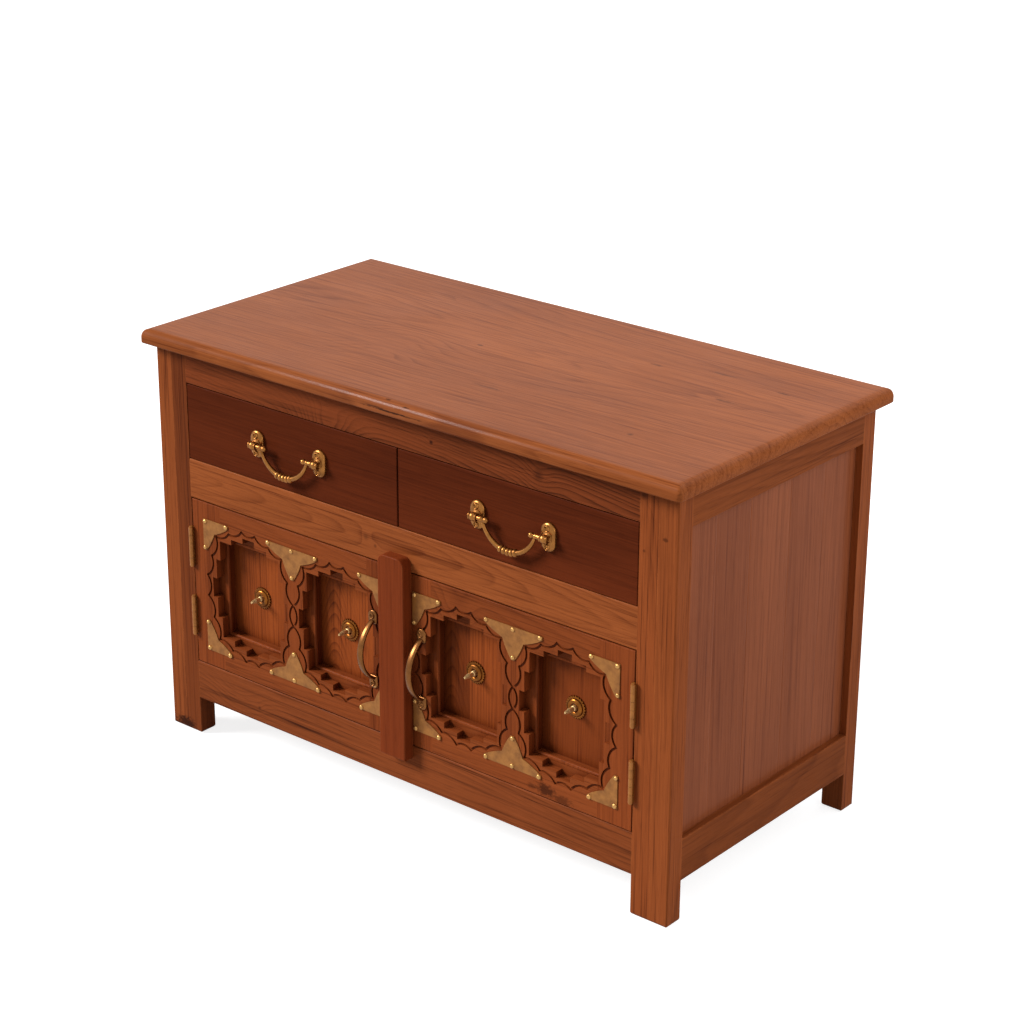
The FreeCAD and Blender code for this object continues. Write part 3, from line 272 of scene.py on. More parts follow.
def painted_hollow_shade():
    """Mask of painted shade in hollows.

    It is how little open sky a point has near by, less on surfaces that face upwards, which are painted as
    lit from above.
    """
    tree, given, result = shader_group("painted_hollow_shade", [("Reach", "Float", 0.012)], [("Hollow", "Float")])
    sky = add(tree, "ShaderNodeAmbientOcclusion", {"Distance": given["Reach"]}, samples=8)
    hollow = spread(tree, sky.outputs["AO"], 0.30, 0.90, 1.0, 0.0)
    hollow = sums(tree, "MULTIPLY", hollow, spread(tree, facing_up(tree), 0.2, 0.8, 1.0, 0.2))
    tree.links.new(hollow, result["Hollow"])
    return tree


def brass_patina():
    """Brass dulled by handling: blotches, fine rubbing marks and darker hollows."""
    tree, given, result = shader_group(
        "brass_patina",
        [
            ("Place", "Vector", (0, 0, 0)), ("Bright", "Color", (0.7, 0.5, 0.2, 1)),
            ("Dull", "Color", (0.3, 0.17, 0.06, 1)), ("Tarnish", "Float", 0.4), ("Shine", "Float", 0.25),
        ],
        [("Color", "Color"), ("Roughness", "Float"), ("Height", "Float")],
    )
    blotch = noise(tree, given["Place"], (90.0, 90.0, 90.0), 4.0, 0.6).outputs[0]
    rub = noise(tree, given["Place"], (900.0, 900.0, 160.0), 2.0).outputs[0]
    sky = add(tree, "ShaderNodeAmbientOcclusion", {"Distance": 0.006}, samples=6, only_local=True)
    hollow = spread(tree, sky.outputs["AO"], 0.3, 0.95, 1.0, 0.0)
    share = sums(tree, "MULTIPLY", spread(tree, blotch, 0.35, 0.75), given["Tarnish"])
    share = sums(tree, "MAXIMUM", share, sums(tree, "MULTIPLY", hollow, 0.8))
    tree.links.new(blend_colour(tree, share, given["Bright"], given["Dull"]), result["Color"])
    rough = sums(tree, "MULTIPLY_ADD", share, 0.3, given["Shine"])
    rough = sums(tree, "MULTIPLY_ADD", rub, 0.08, rough)
    tree.links.new(rough, result["Roughness"])
    tree.links.new(rub, result["Height"])
    return tree


GRAIN = wood_grain()
WEAR = edge_wear()
# Painted shade in hollows, shared by the woods
HOLLOW_SHADE_GROUP = painted_hollow_shade()
PATINA = brass_patina()
TURNS = {"x": (0, 0, 0), "y": (0, 0, -math.pi / 2), "z": (0, math.pi / 2, 0)}
PLANK_JOINTS = (-0.114, -0.044, 0.041, 0.116)
KNOT_BROWN = colour(40, 16, 8)
MARK_BROWN = colour(44, 18, 8)
# Dark brown and reach of the painted shade in hollows
HOLLOW_SHADE_BROWN = colour(74, 25, 8)
HOLLOW_SHADE_REACH = 0.040
WEAR_REACH = 0.0022
WEAR_SHARE = 0.5
COAT_ROUGHNESS = 0.20
HANDLED_HALF = 0.16
HANDLED_COAT = 0.12


def blank_finish(name):
    """A new material, its node tree and its surface shader."""
    made = bpy.data.materials.new(name)
    made.use_nodes = True
    return made, made.node_tree, made.node_tree.nodes["Principled BSDF"]


def grouped(tree, group, values):
    """Outputs of a shared group, placed in a material with its values."""
    return add(tree, "ShaderNodeGroup", values, node_tree=group).outputs


def knot_fields(tree, place, knots):
    """How far knots push the rings aside and how dark their hearts are.

    Each knot is a centre, a size and a depth.
    """
    push = dark = 0.0
    for centre, size, depth in knots:
        away = vectors(tree, "SUBTRACT", place, centre).outputs[0]
        near = sums(tree, "DIVIDE", vectors(tree, "LENGTH", away).outputs["Value"], size)
        push = sums(tree, "MULTIPLY_ADD", bell(tree, near), 0.5 * size, push)
        dark = sums(tree, "MAXIMUM", dark, spread(tree, near, 0.10, 0.42, depth, 0.0))
    return push, dark


def mark_field(tree, place, marks):
    """Ragged dark marks; each is a centre, the half sizes of its egg shape and a depth."""
    broken = noise(tree, place, (160.0, 160.0, 260.0), 3.0, 0.7).outputs[0]
    dark = 0.0
    for centre, half, depth in marks:
        away = vectors(tree, "DIVIDE", vectors(tree, "SUBTRACT", place, centre).outputs[0], half).outputs[0]
        near = sums(tree, "MULTIPLY_ADD", broken, 1.6, vectors(tree, "LENGTH", away).outputs["Value"])
        dark = sums(tree, "MAXIMUM", dark, spread(tree, near, 1.2, 1.7, depth, 0.0))
    return dark


def stepped(tree, across, joints, values):
    """A value for each board: the first one, changed at every joint that a coordinate has passed."""
    total = values[0]
    for joint, before, after in zip(joints, values, values[1:]):
        total = sums(tree, "MULTIPLY_ADD", sums(tree, "GREATER_THAN", across, joint), after - before, total)
    return total


def wood(
    name, grain, light, dark, heart, worn=None, hollow_shade=0.0, rough=0.45, gloss=0.02, coat=0.03, handled=None,
    boards=None, knots=(), marks=(), **values,
):
    """Oiled or lacquered wood with its grain along an axis through a heart.

    It is paler on worn arrises and darker in hollows, where shade is painted in. Boards are an axis, the
    places of the joints along it and, for each board, how dark it is, where its heart lies along that axis
    and its taper.
    Handled is where along X an edge is rubbed to a shine.
    """
    made, tree, skin = blank_finish(name)
    place = add(tree, "ShaderNodeTexCoord").outputs["Object"]
    parts = dict(zip("xyz", add(tree, "ShaderNodeSeparateXYZ", {0: place}).outputs))
    middle = heart
    if boards:
        axis, joints, tones, hearts, tapers = boards
        across = parts[axis]
        line = dict(zip("xyz", heart))
        line[axis] = stepped(tree, across, joints, hearts)
        middle = add(tree, "ShaderNodeCombineXYZ", dict(enumerate(line.values()))).outputs[0]
        values["Taper"] = stepped(tree, across, joints, tapers)
    cut = vectors(tree, "SUBTRACT", place, middle).outputs[0]
    cut = add(tree, "ShaderNodeMapping", {"Vector": cut, "Rotation": TURNS[grain]}).outputs[0]
    push, heartwood = knot_fields(tree, place, knots)
    figure = grouped(tree, GRAIN, {"Place": cut, "Light": light, "Dark": dark, "Push": push, **values})
    base = figure["Color"]
    if boards:
        base = blend_colour(tree, stepped(tree, across, joints, tones), base, dark)
    if worn:
        edge = grouped(tree, WEAR, {"Place": place, "Reach": WEAR_REACH})["Edge"]
        base = blend_colour(tree, sums(tree, "MULTIPLY", edge, WEAR_SHARE), base, worn)
    if knots:
        base = blend_colour(tree, heartwood, base, KNOT_BROWN)
    if marks:
        base = blend_colour(tree, mark_field(tree, place, marks), base, MARK_BROWN)
    # Painted shade: hollows darkened towards dark brown, where shade would fall
    if hollow_shade:
        hollow = grouped(tree, HOLLOW_SHADE_GROUP, {"Reach": HOLLOW_SHADE_REACH})["Hollow"]
        base = blend_colour(tree, sums(tree, "MULTIPLY", hollow, hollow_shade), base, HOLLOW_SHADE_BROWN)
    tree.links.new(base, skin.inputs["Base Color"])
    smear = noise(tree, place, (14.0, 14.0, 14.0), 3.0).outputs[0]
    matt = sums(tree, "MULTIPLY_ADD", smear, 0.16, rough - 0.08)
    matt = sums(tree, "MULTIPLY_ADD", figure["Grain"], 0.08, matt)
    tree.links.new(matt, skin.inputs["Roughness"])
    relief = {"Strength": 0.25, "Distance": 0.0004, "Height": figure["Grain"]}
    tree.links.new(add(tree, "ShaderNodeBump", relief).outputs[0], skin.inputs["Normal"])
    skin.inputs["Specular IOR Level"].default_value = gloss
    skin.inputs["Coat Weight"].default_value = coat
    skin.inputs["Coat Roughness"].default_value = COAT_ROUGHNESS
    if handled is not None:
        off = sums(tree, "DIVIDE", sums(tree, "SUBTRACT", parts["x"], handled), HANDLED_HALF)
        rubbed = sums(tree, "MULTIPLY", bell(tree, off), HANDLED_COAT)
        level = spread(tree, facing_up(tree), 0.95, 0.9995, 0.0, coat)
        tree.links.new(sums(tree, "MAXIMUM", level, rubbed), skin.inputs["Coat Weight"])
    return made


def brass(name, bright, dull, tarnish, shine, metal=0.9):
    """Brass with its patina; the less metal, the more its tarnish scatters the light."""
    made, tree, skin = blank_finish(name)
    place = add(tree, "ShaderNodeTexCoord").outputs["Object"]
    values = {"Place": place, "Bright": bright, "Dull": dull, "Tarnish": tarnish, "Shine": shine}
    aged = grouped(tree, PATINA, values)
    tree.links.new(aged["Color"], skin.inputs["Base Color"])
    tree.links.new(aged["Roughness"], skin.inputs["Roughness"])
    relief = {"Strength": 0.15, "Distance": 0.0002, "Height": aged["Height"]}
    tree.links.new(add(tree, "ShaderNodeBump", relief).outputs[0], skin.inputs["Normal"])
    skin.inputs["Metallic"].default_value = metal
    return made


PALE = colour(176, 98, 50)
FRONT = -0.2053
TOP_WOOD = wood(
    "top_wood", "x", colour(155, 86, 45), colour(97, 44, 20), (0, 0.06, 0.50),
    worn=PALE, rough=0.38, gloss=0.02, coat=0.18, handled=0.0,
    knots=[((-0.15, -0.05, 0.59), 0.07, 0.0), ((0.30, -0.12, 0.59), 0.012, 0.5)],
    marks=[
        ((0.010, -0.2228, 0.5770), (0.060, 0.006, 0.0016), 0.9),
        ((-0.022, -0.2228, 0.5785), (0.022, 0.006, 0.0012), 0.8),
        ((0.028, -0.2190, 0.5870), (0.006, 0.004, 0.0012), 0.8),
        ((-0.005, -0.2150, 0.5895), (0.005, 0.003, 0.002), 0.7),
        ((0.254, 0.133, 0.590), (0.024, 0.0032, 0.01), 0.45),
        ((0.317, 0.051, 0.590), (0.022, 0.0032, 0.01), 0.5),
        ((0.357, 0.121, 0.590), (0.014, 0.0032, 0.01), 0.5),
        ((0.169, 0.108, 0.590), (0.014, 0.003, 0.01), 0.5),
        ((-0.057, 0.022, 0.590), (0.006, 0.0032, 0.01), 0.6),
        ((0.060, -0.100, 0.590), (0.032, 0.003, 0.01), 0.4),
    ],
    **{"Ring Width": 0.010, "Taper": 0.06, "Wander": 0.09, "Rings": 0.45, "Tone": 0.8, "Streaks": 0.35},
    Fibres=0.9,
)
POST_WOOD = wood(
    "post_wood", "z", colour(155, 81, 40), colour(84, 36, 15), (-0.30, 0.10, 0.13), worn=PALE,
    marks=[
        ((-0.412, FRONT, 0.008), (0.026, 0.020, 0.013), 0.9),
        ((-0.430, FRONT, 0.0), (0.016, 0.020, 0.008), 0.8),
        ((0.418, FRONT, 0.512), (0.005, 0.004, 0.004), 0.6),
    ],
    **{"Ring Width": 0.008, "Wander": 0.05, "Rings": 0.3, "Tone": 0.6, "Streaks": 0.5},
)
STILE_WOOD = wood(
    "stile_wood", "z", colour(156, 80, 39), colour(74, 30, 12), (0, -0.30, 0.41), worn=PALE,
    boards=("x", (0.0,), (0.42, 0.0), (-0.60, 0.31), (0.03, 0.05)),
    knots=[((0.386, FRONT, 0.560), 0.018, 0.7), ((0.388, FRONT, 0.490), 0.006, 0.6)],
    marks=[((-0.412, FRONT, 0.008), (0.026, 0.020, 0.013), 0.9)],
    **{"Ring Width": 0.006, "Wander": 0.05, "Rings": 0.4, "Tone": 0.5, "Streaks": 0.6},
)
TOP_RAIL_WOOD = wood(
    "top_rail_wood", "x", colour(136, 66, 33), colour(50, 20, 7), (-0.11, -0.19, 0.512), worn=PALE,
    knots=[
        ((0.057, FRONT, 0.545), 0.009, 0.9), ((0.228, FRONT, 0.544), 0.024, 0.5),
        ((-0.115, FRONT, 0.505), 0.06, 0.0), ((-0.125, FRONT, 0.515), 0.04, 0.0),
    ],
    **{"Ring Width": 0.0055, "Taper": 0.10, "Wander": 0.05, "Rings": 0.75, "Tone": 0.9, "Streaks": 0.45},
)
RAIL_WOOD = wood(
    "rail_wood", "x", colour(145, 74, 37), colour(62, 26, 11), (0.4, -0.24, 0.02), worn=PALE,
    knots=[((-0.300, FRONT, 0.090), 0.05, 0.0), ((-0.262, FRONT, 0.078), 0.009, 0.5)],
    **{"Ring Width": 0.007, "Taper": 0.05, "Wander": 0.06, "Rings": 0.45, "Tone": 0.7, "Streaks": 0.6},
)
MID_RAIL_WOOD = wood(
    "mid_rail_wood", "x", colour(166, 90, 46), colour(96, 43, 18), (-0.12, -0.185, 0.387), worn=PALE,
    knots=[((-0.056, FRONT, 0.388), 0.014, 0.35), ((-0.040, FRONT, 0.380), 0.008, 0.5)],
    **{"Ring Width": 0.006, "Taper": 0.07, "Wander": 0.05, "Rings": 0.4, "Tone": 0.8, "Streaks": 0.45},
)
SIDE_RAIL_WOOD = wood(
    "side_rail_wood", "y", colour(140, 73, 36), colour(78, 35, 15), (-0.32, 0, 0.05),
    worn=PALE, gloss=0.015, coat=0.02,
    **{"Ring Width": 0.009, "Taper": 0.06, "Wander": 0.06, "Rings": 0.4, "Tone": 0.6},
)
SIDE_PANEL_WOOD = wood(
    "side_panel_wood", "z", colour(148, 82, 50), colour(98, 47, 26), (0.55, 0, 0.2), gloss=0.03, coat=0.085,
    boards=(
        "y", PLANK_JOINTS, (0.05, 0.16, 0.02, 0.14, 0.06),
        (0.3, -0.4, 0.5, -0.3, 0.7), (0.02, 0.03, 0.02, 0.03, 0.02),
    ),
    **{"Ring Width": 0.010, "Rings": 0.3, "Tone": 0.8, "Streaks": 0.35},
)
DRAWER_FRONT_WOOD = wood(
    "drawer_front_wood", "x", colour(101, 43, 20), colour(58, 21, 9), (0.2, -0.30, 0.46),
    rough=0.5, gloss=0.01, coat=0.01,
    boards=("x", (0.0,), (0.16, 0.0), (0.2, 0.2), (0.02, 0.02)),
    **{"Ring Width": 0.012, "Rings": 0.15, "Tone": 1.3, "Fibres": 0.9, "Streaks": 0.2},
)
# The door woods take painted shade in their hollows
DOOR_STILE_WOOD = wood(
    "door_stile_wood", "z", colour(150, 74, 35), colour(88, 37, 15), (-0.20, 0.05, 0.3), hollow_shade=0.75,
    **{"Ring Width": 0.008, "Wander": 0.05, "Rings": 0.35, "Tone": 0.7, "Streaks": 0.4},
)
DOOR_RAIL_WOOD = wood(
    "door_rail_wood", "x", colour(146, 73, 35), colour(86, 37, 15), (0, -0.10, 0.30), hollow_shade=0.7,
    knots=[((0.10, FRONT, 0.335), 0.03, 0.0)],
    marks=[
        ((0.245, FRONT, 0.126), (0.020, 0.012, 0.012), 0.75),
        ((0.270, FRONT, 0.121), (0.022, 0.012, 0.008), 0.55),
        ((0.222, FRONT, 0.124), (0.010, 0.012, 0.005), 0.5),
    ],
    **{"Ring Width": 0.007, "Taper": 0.06, "Wander": 0.05, "Rings": 0.35, "Tone": 0.7, "Streaks": 0.4},
)
DOOR_PANEL_WOOD = wood(
    "door_panel_wood", "z", colour(166, 82, 36), colour(88, 36, 15), (0, -0.165, 0.2), hollow_shade=0.55,
    boards=(
        "x", (-0.263, -0.195, 0.0, 0.099, 0.19, 0.222), (0.15, 0.0, 0.0, 0.50, 0.05, 0.30, 0.45),
        (-0.60, 0.20, -0.137, 0.070, 0.50, -0.20, 0.60), (0.02, 0.02, 0.28, 0.22, 0.02, 0.02, 0.02),
    ),
    **{"Ring Width": 0.0048, "Wander": 0.03, "Rings": 0.55, "Tone": 0.6, "Streaks": 0.4},
)
CENTRE_POST_WOOD = wood(
    "centre_post_wood", "z", colour(132, 59, 27), colour(89, 35, 14), (-0.34, 0.02, 0), worn=PALE,
    **{"Ring Width": 0.009, "Rings": 0.2, "Tone": 0.5, "Streaks": 0.25},
)
PLAIN_WOOD = wood(
    "plain_wood", "x", colour(166, 115, 74), colour(124, 79, 46), (0, 0.2, 0.2),
    rough=0.65, gloss=0.1, coat=0.0,
    **{"Ring Width": 0.008, "Rings": 0.4, "Tone": 0.4},
)
CAST_BRASS = brass("cast_brass", colour(164, 108, 52), colour(62, 33, 12), 0.55, 0.19)
NAIL_BRASS = brass("nail_brass", colour(200, 152, 88), colour(110, 72, 34), 0.4, 0.22, 0.8)
BOSS_BRASS = brass("boss_brass", colour(140, 82, 26), colour(48, 22, 6), 0.75, 0.20)
PULL_BRASS = brass("pull_brass", colour(132, 84, 42), colour(56, 31, 13), 0.55, 0.20)
PIN_BRASS = brass("pin_brass", colour(222, 184, 126), colour(150, 108, 62), 0.2, 0.22, 0.6)
PLATE_BRASS = brass("plate_brass", colour(160, 103, 41), colour(108, 63, 25), 0.8, 0.42, 0.4)
HINGE_BRASS = brass("hinge_brass", colour(164, 103, 42), colour(108, 64, 24), 0.5, 0.34, 0.5)

FINISHES = {
    "top_board": TOP_WOOD, "front_mid_rail": MID_RAIL_WOOD, "centre_post": CENTRE_POST_WOOD,
    "front_top_rail": TOP_RAIL_WOOD, "front_bottom_rail": RAIL_WOOD,
    "hinge_frame_leaves": HINGE_BRASS, "hinge_pins": HINGE_BRASS,
}
for side in SIDES:
    for label, finish in {
        "front_%s_post": POST_WOOD, "back_%s_post": POST_WOOD, "front_%s_stile": STILE_WOOD,
        "%s_side_top_rail": SIDE_RAIL_WOOD, "%s_side_bottom_rail": SIDE_RAIL_WOOD,
        "%s_side_panel": SIDE_PANEL_WOOD, "%s_drawer_front": DRAWER_FRONT_WOOD,
        "%s_door_hinge_stile": DOOR_STILE_WOOD, "%s_door_lock_stile": DOOR_STILE_WOOD,
        "%s_door_muntin": DOOR_STILE_WOOD, "%s_door_rails": DOOR_RAIL_WOOD, "%s_door_panels": DOOR_PANEL_WOOD,
        "%s_pull_plates": CAST_BRASS, "%s_pull_screws": CAST_BRASS, "%s_bail": CAST_BRASS,
        "%s_door_pull": PULL_BRASS, "%s_door_fixings": NAIL_BRASS, "%s_rosettes": BOSS_BRASS,
        "%s_corner_plates": PLATE_BRASS, "%s_door_hinge_leaves": HINGE_BRASS,
    }.items():
        FINISHES[label % side] = finish
for name, solid in nodes.items():
    for holder in solid.material_slots:
        holder.material = FINISHES.get(name, PLAIN_WOOD)


# Shapes
def circle(count):
    """Angles of points that stand evenly round a circle."""
    return np.arange(count) * TAU / count


def turned(place, along, distance, radius, around=32):
    """Solid of revolution: circles of a radius at each distance along a line.

    A radius may change round the turn.
    """
    along = np.array(along, float)
    side = np.array([0, 0, 1.0]) if abs(along[2]) < 0.5 else np.array([1.0, 0, 0])
    angle = circle(around)
    ring = np.cos(angle)[:, None] * side + np.sin(angle)[:, None] * np.cross(along, side)
    radius = np.asarray(radius, float)
    radius = radius if radius.ndim == 2 else radius[:, None]
    steps = np.asarray(distance, float)[:, None, None] * along
    return tube(np.asarray(place) + steps + radius[:, :, None] * ring)


def arc(centre, radius, start, end, count):
    """Points of an arc as two arrays; angles in degrees."""
    angle = np.radians(np.linspace(start, end, count))
    return centre[0] + radius * np.cos(angle), centre[1] + radius * np.sin(angle)


def crowned(place, rim, steps):
    """Cast plate on the front: its rim carried towards -Y by steps of rise and share of the rim's size."""
    rim = np.asarray(rim)
    rise, share = np.array(steps).T
    x = place[0] + share[:, None] * rim[:, 0]
    y = place[1] - np.broadcast_to(rise[:, None], x.shape)
    z = place[2] + share[:, None] * rim[:, 1]
    return tube(np.stack([x, y, z], -1))


# Top board
TOP_LOW, TOP_HIGH = corners("top_board")
TOP_CORNER = 0.006
TOP_ROUNDING = 0.012
UNDER_ARRIS = 0.0025
EDGE_SPACING = 0.004
UNDER_INSET = 0.06
CORNER_POINTS = 9
FACE_RINGS = 40
WAVE_DEPTH = 0.00012
WAVE_FADE = 0.05
CHIP_HEIGHT = 0.006
CHIP_REACH = 0.005
# Each chip of the front edge: its place along X, its width and its depth
CHIPS = [
    (-0.31, 0.004, 0.0006), (-0.045, 0.022, 0.0008), (0.02, 0.006, 0.0007),
    (0.21, 0.005, 0.0006), (0.33, 0.009, 0.0004),
]


def round_cornered():
    """Points round a rectangle from its front right corner: shares of its half sizes, and ways outwards."""
    half = (TOP_HIGH - TOP_LOW) / 2
    bends = np.array([[1, -1], [1, 1], [-1, 1], [-1, -1]])
    shares = []
    outwards = []
    for turn, bend, after in zip((-90, 0, 90, 180), bends, np.roll(bends, -1, 0)):
        angle = np.radians(np.linspace(turn, turn + 90, CORNER_POINTS))
        way = np.stack([np.cos(angle), np.sin(angle)], -1)
        count = int(2 * half[1 if turn in (-90, 90) else 0] / EDGE_SPACING)
        run = np.linspace(0, 1, count)[1:-1, None]
        shares += [np.repeat(bend[None], CORNER_POINTS, 0), bend + run * (after - bend)]
        outwards += [way, np.repeat(way[-1:], len(run), 0)]
    return np.concatenate(shares), np.concatenate(outwards)


def top_shell():
    """Board with a full rounding above and a small one below.

    The outline is carried inwards and upwards by the edge's profile, its corners sharper as it goes in,
    then drawn in to the middle. Bell curves chip the front edge, and slow waves dip the face.
    """
    middle = (TOP_LOW + TOP_HIGH) / 2
    half = (TOP_HIGH - TOP_LOW) / 2
    shares, outwards = round_cornered()
    under_in, under_up = arc((UNDER_ARRIS, UNDER_ARRIS), UNDER_ARRIS, 270, 180, 5)
    over_in, over_up = arc((TOP_ROUNDING, 2 * half[2] - TOP_ROUNDING), TOP_ROUNDING, 180, 90, 13)
    inset = np.concatenate([[UNDER_INSET], under_in, over_in])
    height = TOP_LOW[2] + np.concatenate([[0.0], under_up, over_up])
    along = shares[:, 0] * half[0]
    chips = sum(depth * np.exp(-((along - spot) / width) ** 2) for spot, width, depth in CHIPS)
    chips = chips * (outwards[:, 1] < -0.9)
    dented = np.exp(-((height - TOP_LOW[2] - CHIP_HEIGHT) / CHIP_REACH) ** 2)[:, None] * chips
    inset = (inset[:, None] + dented)[:, :, None]
    core = half[:2] - np.maximum(inset, TOP_CORNER)
    band = shares * core + outwards * np.maximum(TOP_CORNER - inset, 0)
    sheet = np.linspace(1, 0, FACE_RINGS)[1:, None, None] * band[-1]
    flat = np.concatenate([band, sheet])
    rim = np.repeat(height[:, None], len(shares), 1)
    level = np.concatenate([rim, np.full(sheet.shape[:2], TOP_HIGH[2])])
    x, y = flat[..., 0], flat[..., 1]
    uneven = np.sin(9 * x + 0.6) * np.sin(14 * y + 1.1) + np.sin(21 * x)
    edge = np.minimum(half[0] - abs(x), half[1] - abs(y))
    level = level - WAVE_DEPTH * (2 + uneven) * np.clip((edge - TOP_ROUNDING) / WAVE_FADE, 0, 1)
    return tube(np.concatenate([flat + middle[:2], level[..., None]], -1))


piece("worn_top", "carcass", TOP_WOOD, [top_shell()], ["top_board"])

# Side panels of upright planks
JOINT_DEPTH = 0.0005
JOINT_HALF = 0.0009
PLANK_CROWN = 0.00018
PLANK_STEP = 0.00012
PLANK_SINK = 0.0003


def planked(side, low, high):
    """Panel of planks: a level section carried upwards.

    The section has a fine V at each joint, a faint crown between, and a small step of its own on each plank.
    """
    y = np.linspace(low[1], high[1], 421)
    ends = np.array([low[1], *PLANK_JOINTS, high[1]])
    number = np.clip(np.searchsorted(ends, y) - 1, 0, len(PLANK_JOINTS))
    share = (y - ends[number]) / (ends[number + 1] - ends[number])
    near = np.abs(y[:, None] - np.array(PLANK_JOINTS)).min(1)
    crown = PLANK_CROWN * np.sin(math.pi * share) + PLANK_STEP * np.sin(2.4 * number + 1)
    drop = JOINT_DEPTH * np.clip(1 - near / JOINT_HALF, 0, 1)
    outer, inner = (high[0], low[0]) if side > 0 else (low[0], high[0])
    face = outer - side * (drop + PLANK_SINK - crown)
    x = np.concatenate([face, np.full(len(y), inner)])
    y = np.concatenate([y, y[::-1]])
    level = np.linspace(low[2], high[2], 9)[:, None] + 0 * x
    return tube(np.stack([np.broadcast_to(x, level.shape), np.broadcast_to(y, level.shape), level], -1))


for side, sign in SIDES.items():
    node = "%s_side_panel" % side
    shells = [planked(sign, *corners(node))]
    piece("%s_planked_panel" % side, "carcass", SIDE_PANEL_WOOD, shells, [node])

# Carved mouldings of the doors
FACE = corners("left_door_muntin")[0][1]
STEP_DEPTH = 0.012
NOSE_RADIUS = 0.0032
NOSE_OUT = 0.0014
NOSE_SINK = 0.0025
PANEL_TONGUE = 0.007


def bead_frame(middle, half_x, half_z):
    """Rolled inner edge of a stepped recess: a circle carried round a rectangle with mitred corners."""
    turn = circle(24)
    out = NOSE_OUT + np.cos(turn) * NOSE_RADIUS
    back = STEP_DEPTH + NOSE_SINK - np.sin(turn) * NOSE_RADIUS
    way = np.array([[-1, -1], [1, -1], [1, 1], [-1, 1]])
    x = middle[0] + way[:, :1] * (half_x + out)
    y = np.broadcast_to(FACE + back, x.shape)
    z = middle[1] + way[:, 1:] * (half_z + out)
    return hoop(np.stack([x, y, z], -1))


# Brass
BAIL_PITCH = 0.112
BAIL_SPAN = 0.084
BAIL_DROP = 0.032
BAIL_REACH = 0.0105
BAIL_ENDS = 0.002
BAIL_MIDDLE = 0.0036
RING_RADIUS = 0.0054
RING_PITCH = 0.0058
RING_HALF = 0.0026
RING_RISE = 0.0015
BAIL_TOP = 0.0034
BAIL_KNOB = 0.0040
KNOB_INSET = 0.0060
PAST_EYE = 0.004
# Distance from the bow's end and radius
BAIL_COLLAR = [(-0.0018, 0.0030), (0, 0.0040), (0.0016, 0.0040), (0.0026, 0.0030)]
PLATE_END = 0.01125
PLATE_STRAIGHT = 0.008
PLATE_FACE = 0.0053
# Rise and share of the rim
PLATE_CROWN = [
    (0, 1.0), (0.0020, 1.0), (0.0034, 0.96), (0.0045, 0.89), (0.0052, 0.80), (0.0056, 0.68),
    (0.0057, 0.5), (0.0057, 0.0),
]
# Rise and radius
LUG_NECK = [(0.003, 0.0086), (0.0058, 0.0076), (0.0064, 0.0060)]
LUG_BALL = 0.0060
EYE_RING = 0.0040
EYE_WIRE = 0.0012
EYE_APART = 0.0050
PLATE_SHEET = 0.0012
HEAD_SINK = 0.0006
NAIL_TOP = 0.0034
NAIL_RADIUS = 0.0031
NAIL_RISE = 0.0022
NAIL_DIMPLE = 0.0007
SPOT_CELL = 0.004
SCREW_PITCH = 0.024
SCREW_RISE = 0.0020
BAIL_SCREW = 0.0046
PULL_SCREW = 0.0044
PULL_SCREW_OUT = 0.002
PULL_PITCH = {"left": 0.0925, "right": 0.0955}
PULL_LIFT = {"left": 0.0025, "right": -0.0010}
PULL_REACH = 0.029
BOW_INSET = 0.004
BOW_WIDE = 0.0047
BOW_NARROWS = 0.0012
BOW_DEEP = 0.0025
BOW_THINS = 0.0004
FOOT_FACE = 0.0029
FOOT_END = 0.0078
FOOT_BACK = 0.0020
FOOT_SHOULDER = 0.0032
SHOULDER_AT = (0.0042, 0.0062)
# Rise and share of the rim
FOOT_CROWN = [
    (0, 1.0), (0.0010, 1.0), (0.0018, 0.97), (0.0025, 0.90), (0.0029, 0.78), (0.0031, 0.5), (0.0031, 0.0),
]
ROSETTE_RADIUS = 0.0158
ROSETTE_TEETH = 24
TOOTH_DEPTH = 0.10
ROSETTE_RING = (0.0084, 0.0014)
ROSETTE_BEAD = 0.0040
# Rise and radius
ROSETTE_DISC = [(0, ROSETTE_RADIUS), (0.0010, ROSETTE_RADIUS), (0.0016, 0.0154), (0.0018, 0.0128)]
ROSETTE_HOLLOW = [(0.0010, 0.0040), (0.0010, 0.0)]
ROSETTE_PIN = [
    (0.0008, 0.0042), (0.0060, 0.0042), (0.0068, 0.0040), (0.0076, 0.0031), (0.0130, 0.0029),
    (0.0137, 0.0034), (0.0148, 0.0034), (0.0156, 0.0030), (0.0206, 0.0021), (0.0226, 0.0012), (0.0232, 0.0),
]
ROSETTE_DROPS = {"left": (0.0046, 0.0039), "right": (-0.0015, -0.0047)}


def bail_bow(centre):
    """Bow of the drawer pull: a circle swept down an arc, thin at its ends, with five rings on its grip.

    Its thickness is the parabola between end and middle, or the half circle of a ring where that is more.
    """
    half = BAIL_SPAN / 2
    bend = (half ** 2 + BAIL_DROP ** 2) / (2 * BAIL_DROP)
    swing = math.asin(half / bend)
    share = np.linspace(-1, 1, 241)
    turn = share * swing
    thick = BAIL_MIDDLE + (BAIL_ENDS - BAIL_MIDDLE) * share ** 2
    run = turn * bend
    ring = np.abs((run + 2.5 * RING_PITCH) % RING_PITCH - RING_PITCH / 2) / RING_HALF
    bead = (RING_RADIUS - RING_RISE) + RING_RISE * np.sqrt(np.clip(1 - ring ** 2, 0, 1))
    bead = np.where((np.abs(run) < 2.5 * RING_PITCH) & (ring < 1), bead, 0)
    thick = np.maximum(thick, bead)[:, None, None]
    out = np.stack([np.sin(turn), 0 * turn, -np.cos(turn)], -1)
    path = centre + np.array([0, 0, bend - BAIL_DROP]) + bend * out
    angle = circle(20)
    across = np.cos(angle)[:, None] * out[:, None, :] + np.sin(angle)[:, None] * np.array([0, 1.0, 0])
    return tube(path[:, None, :] + thick * across)


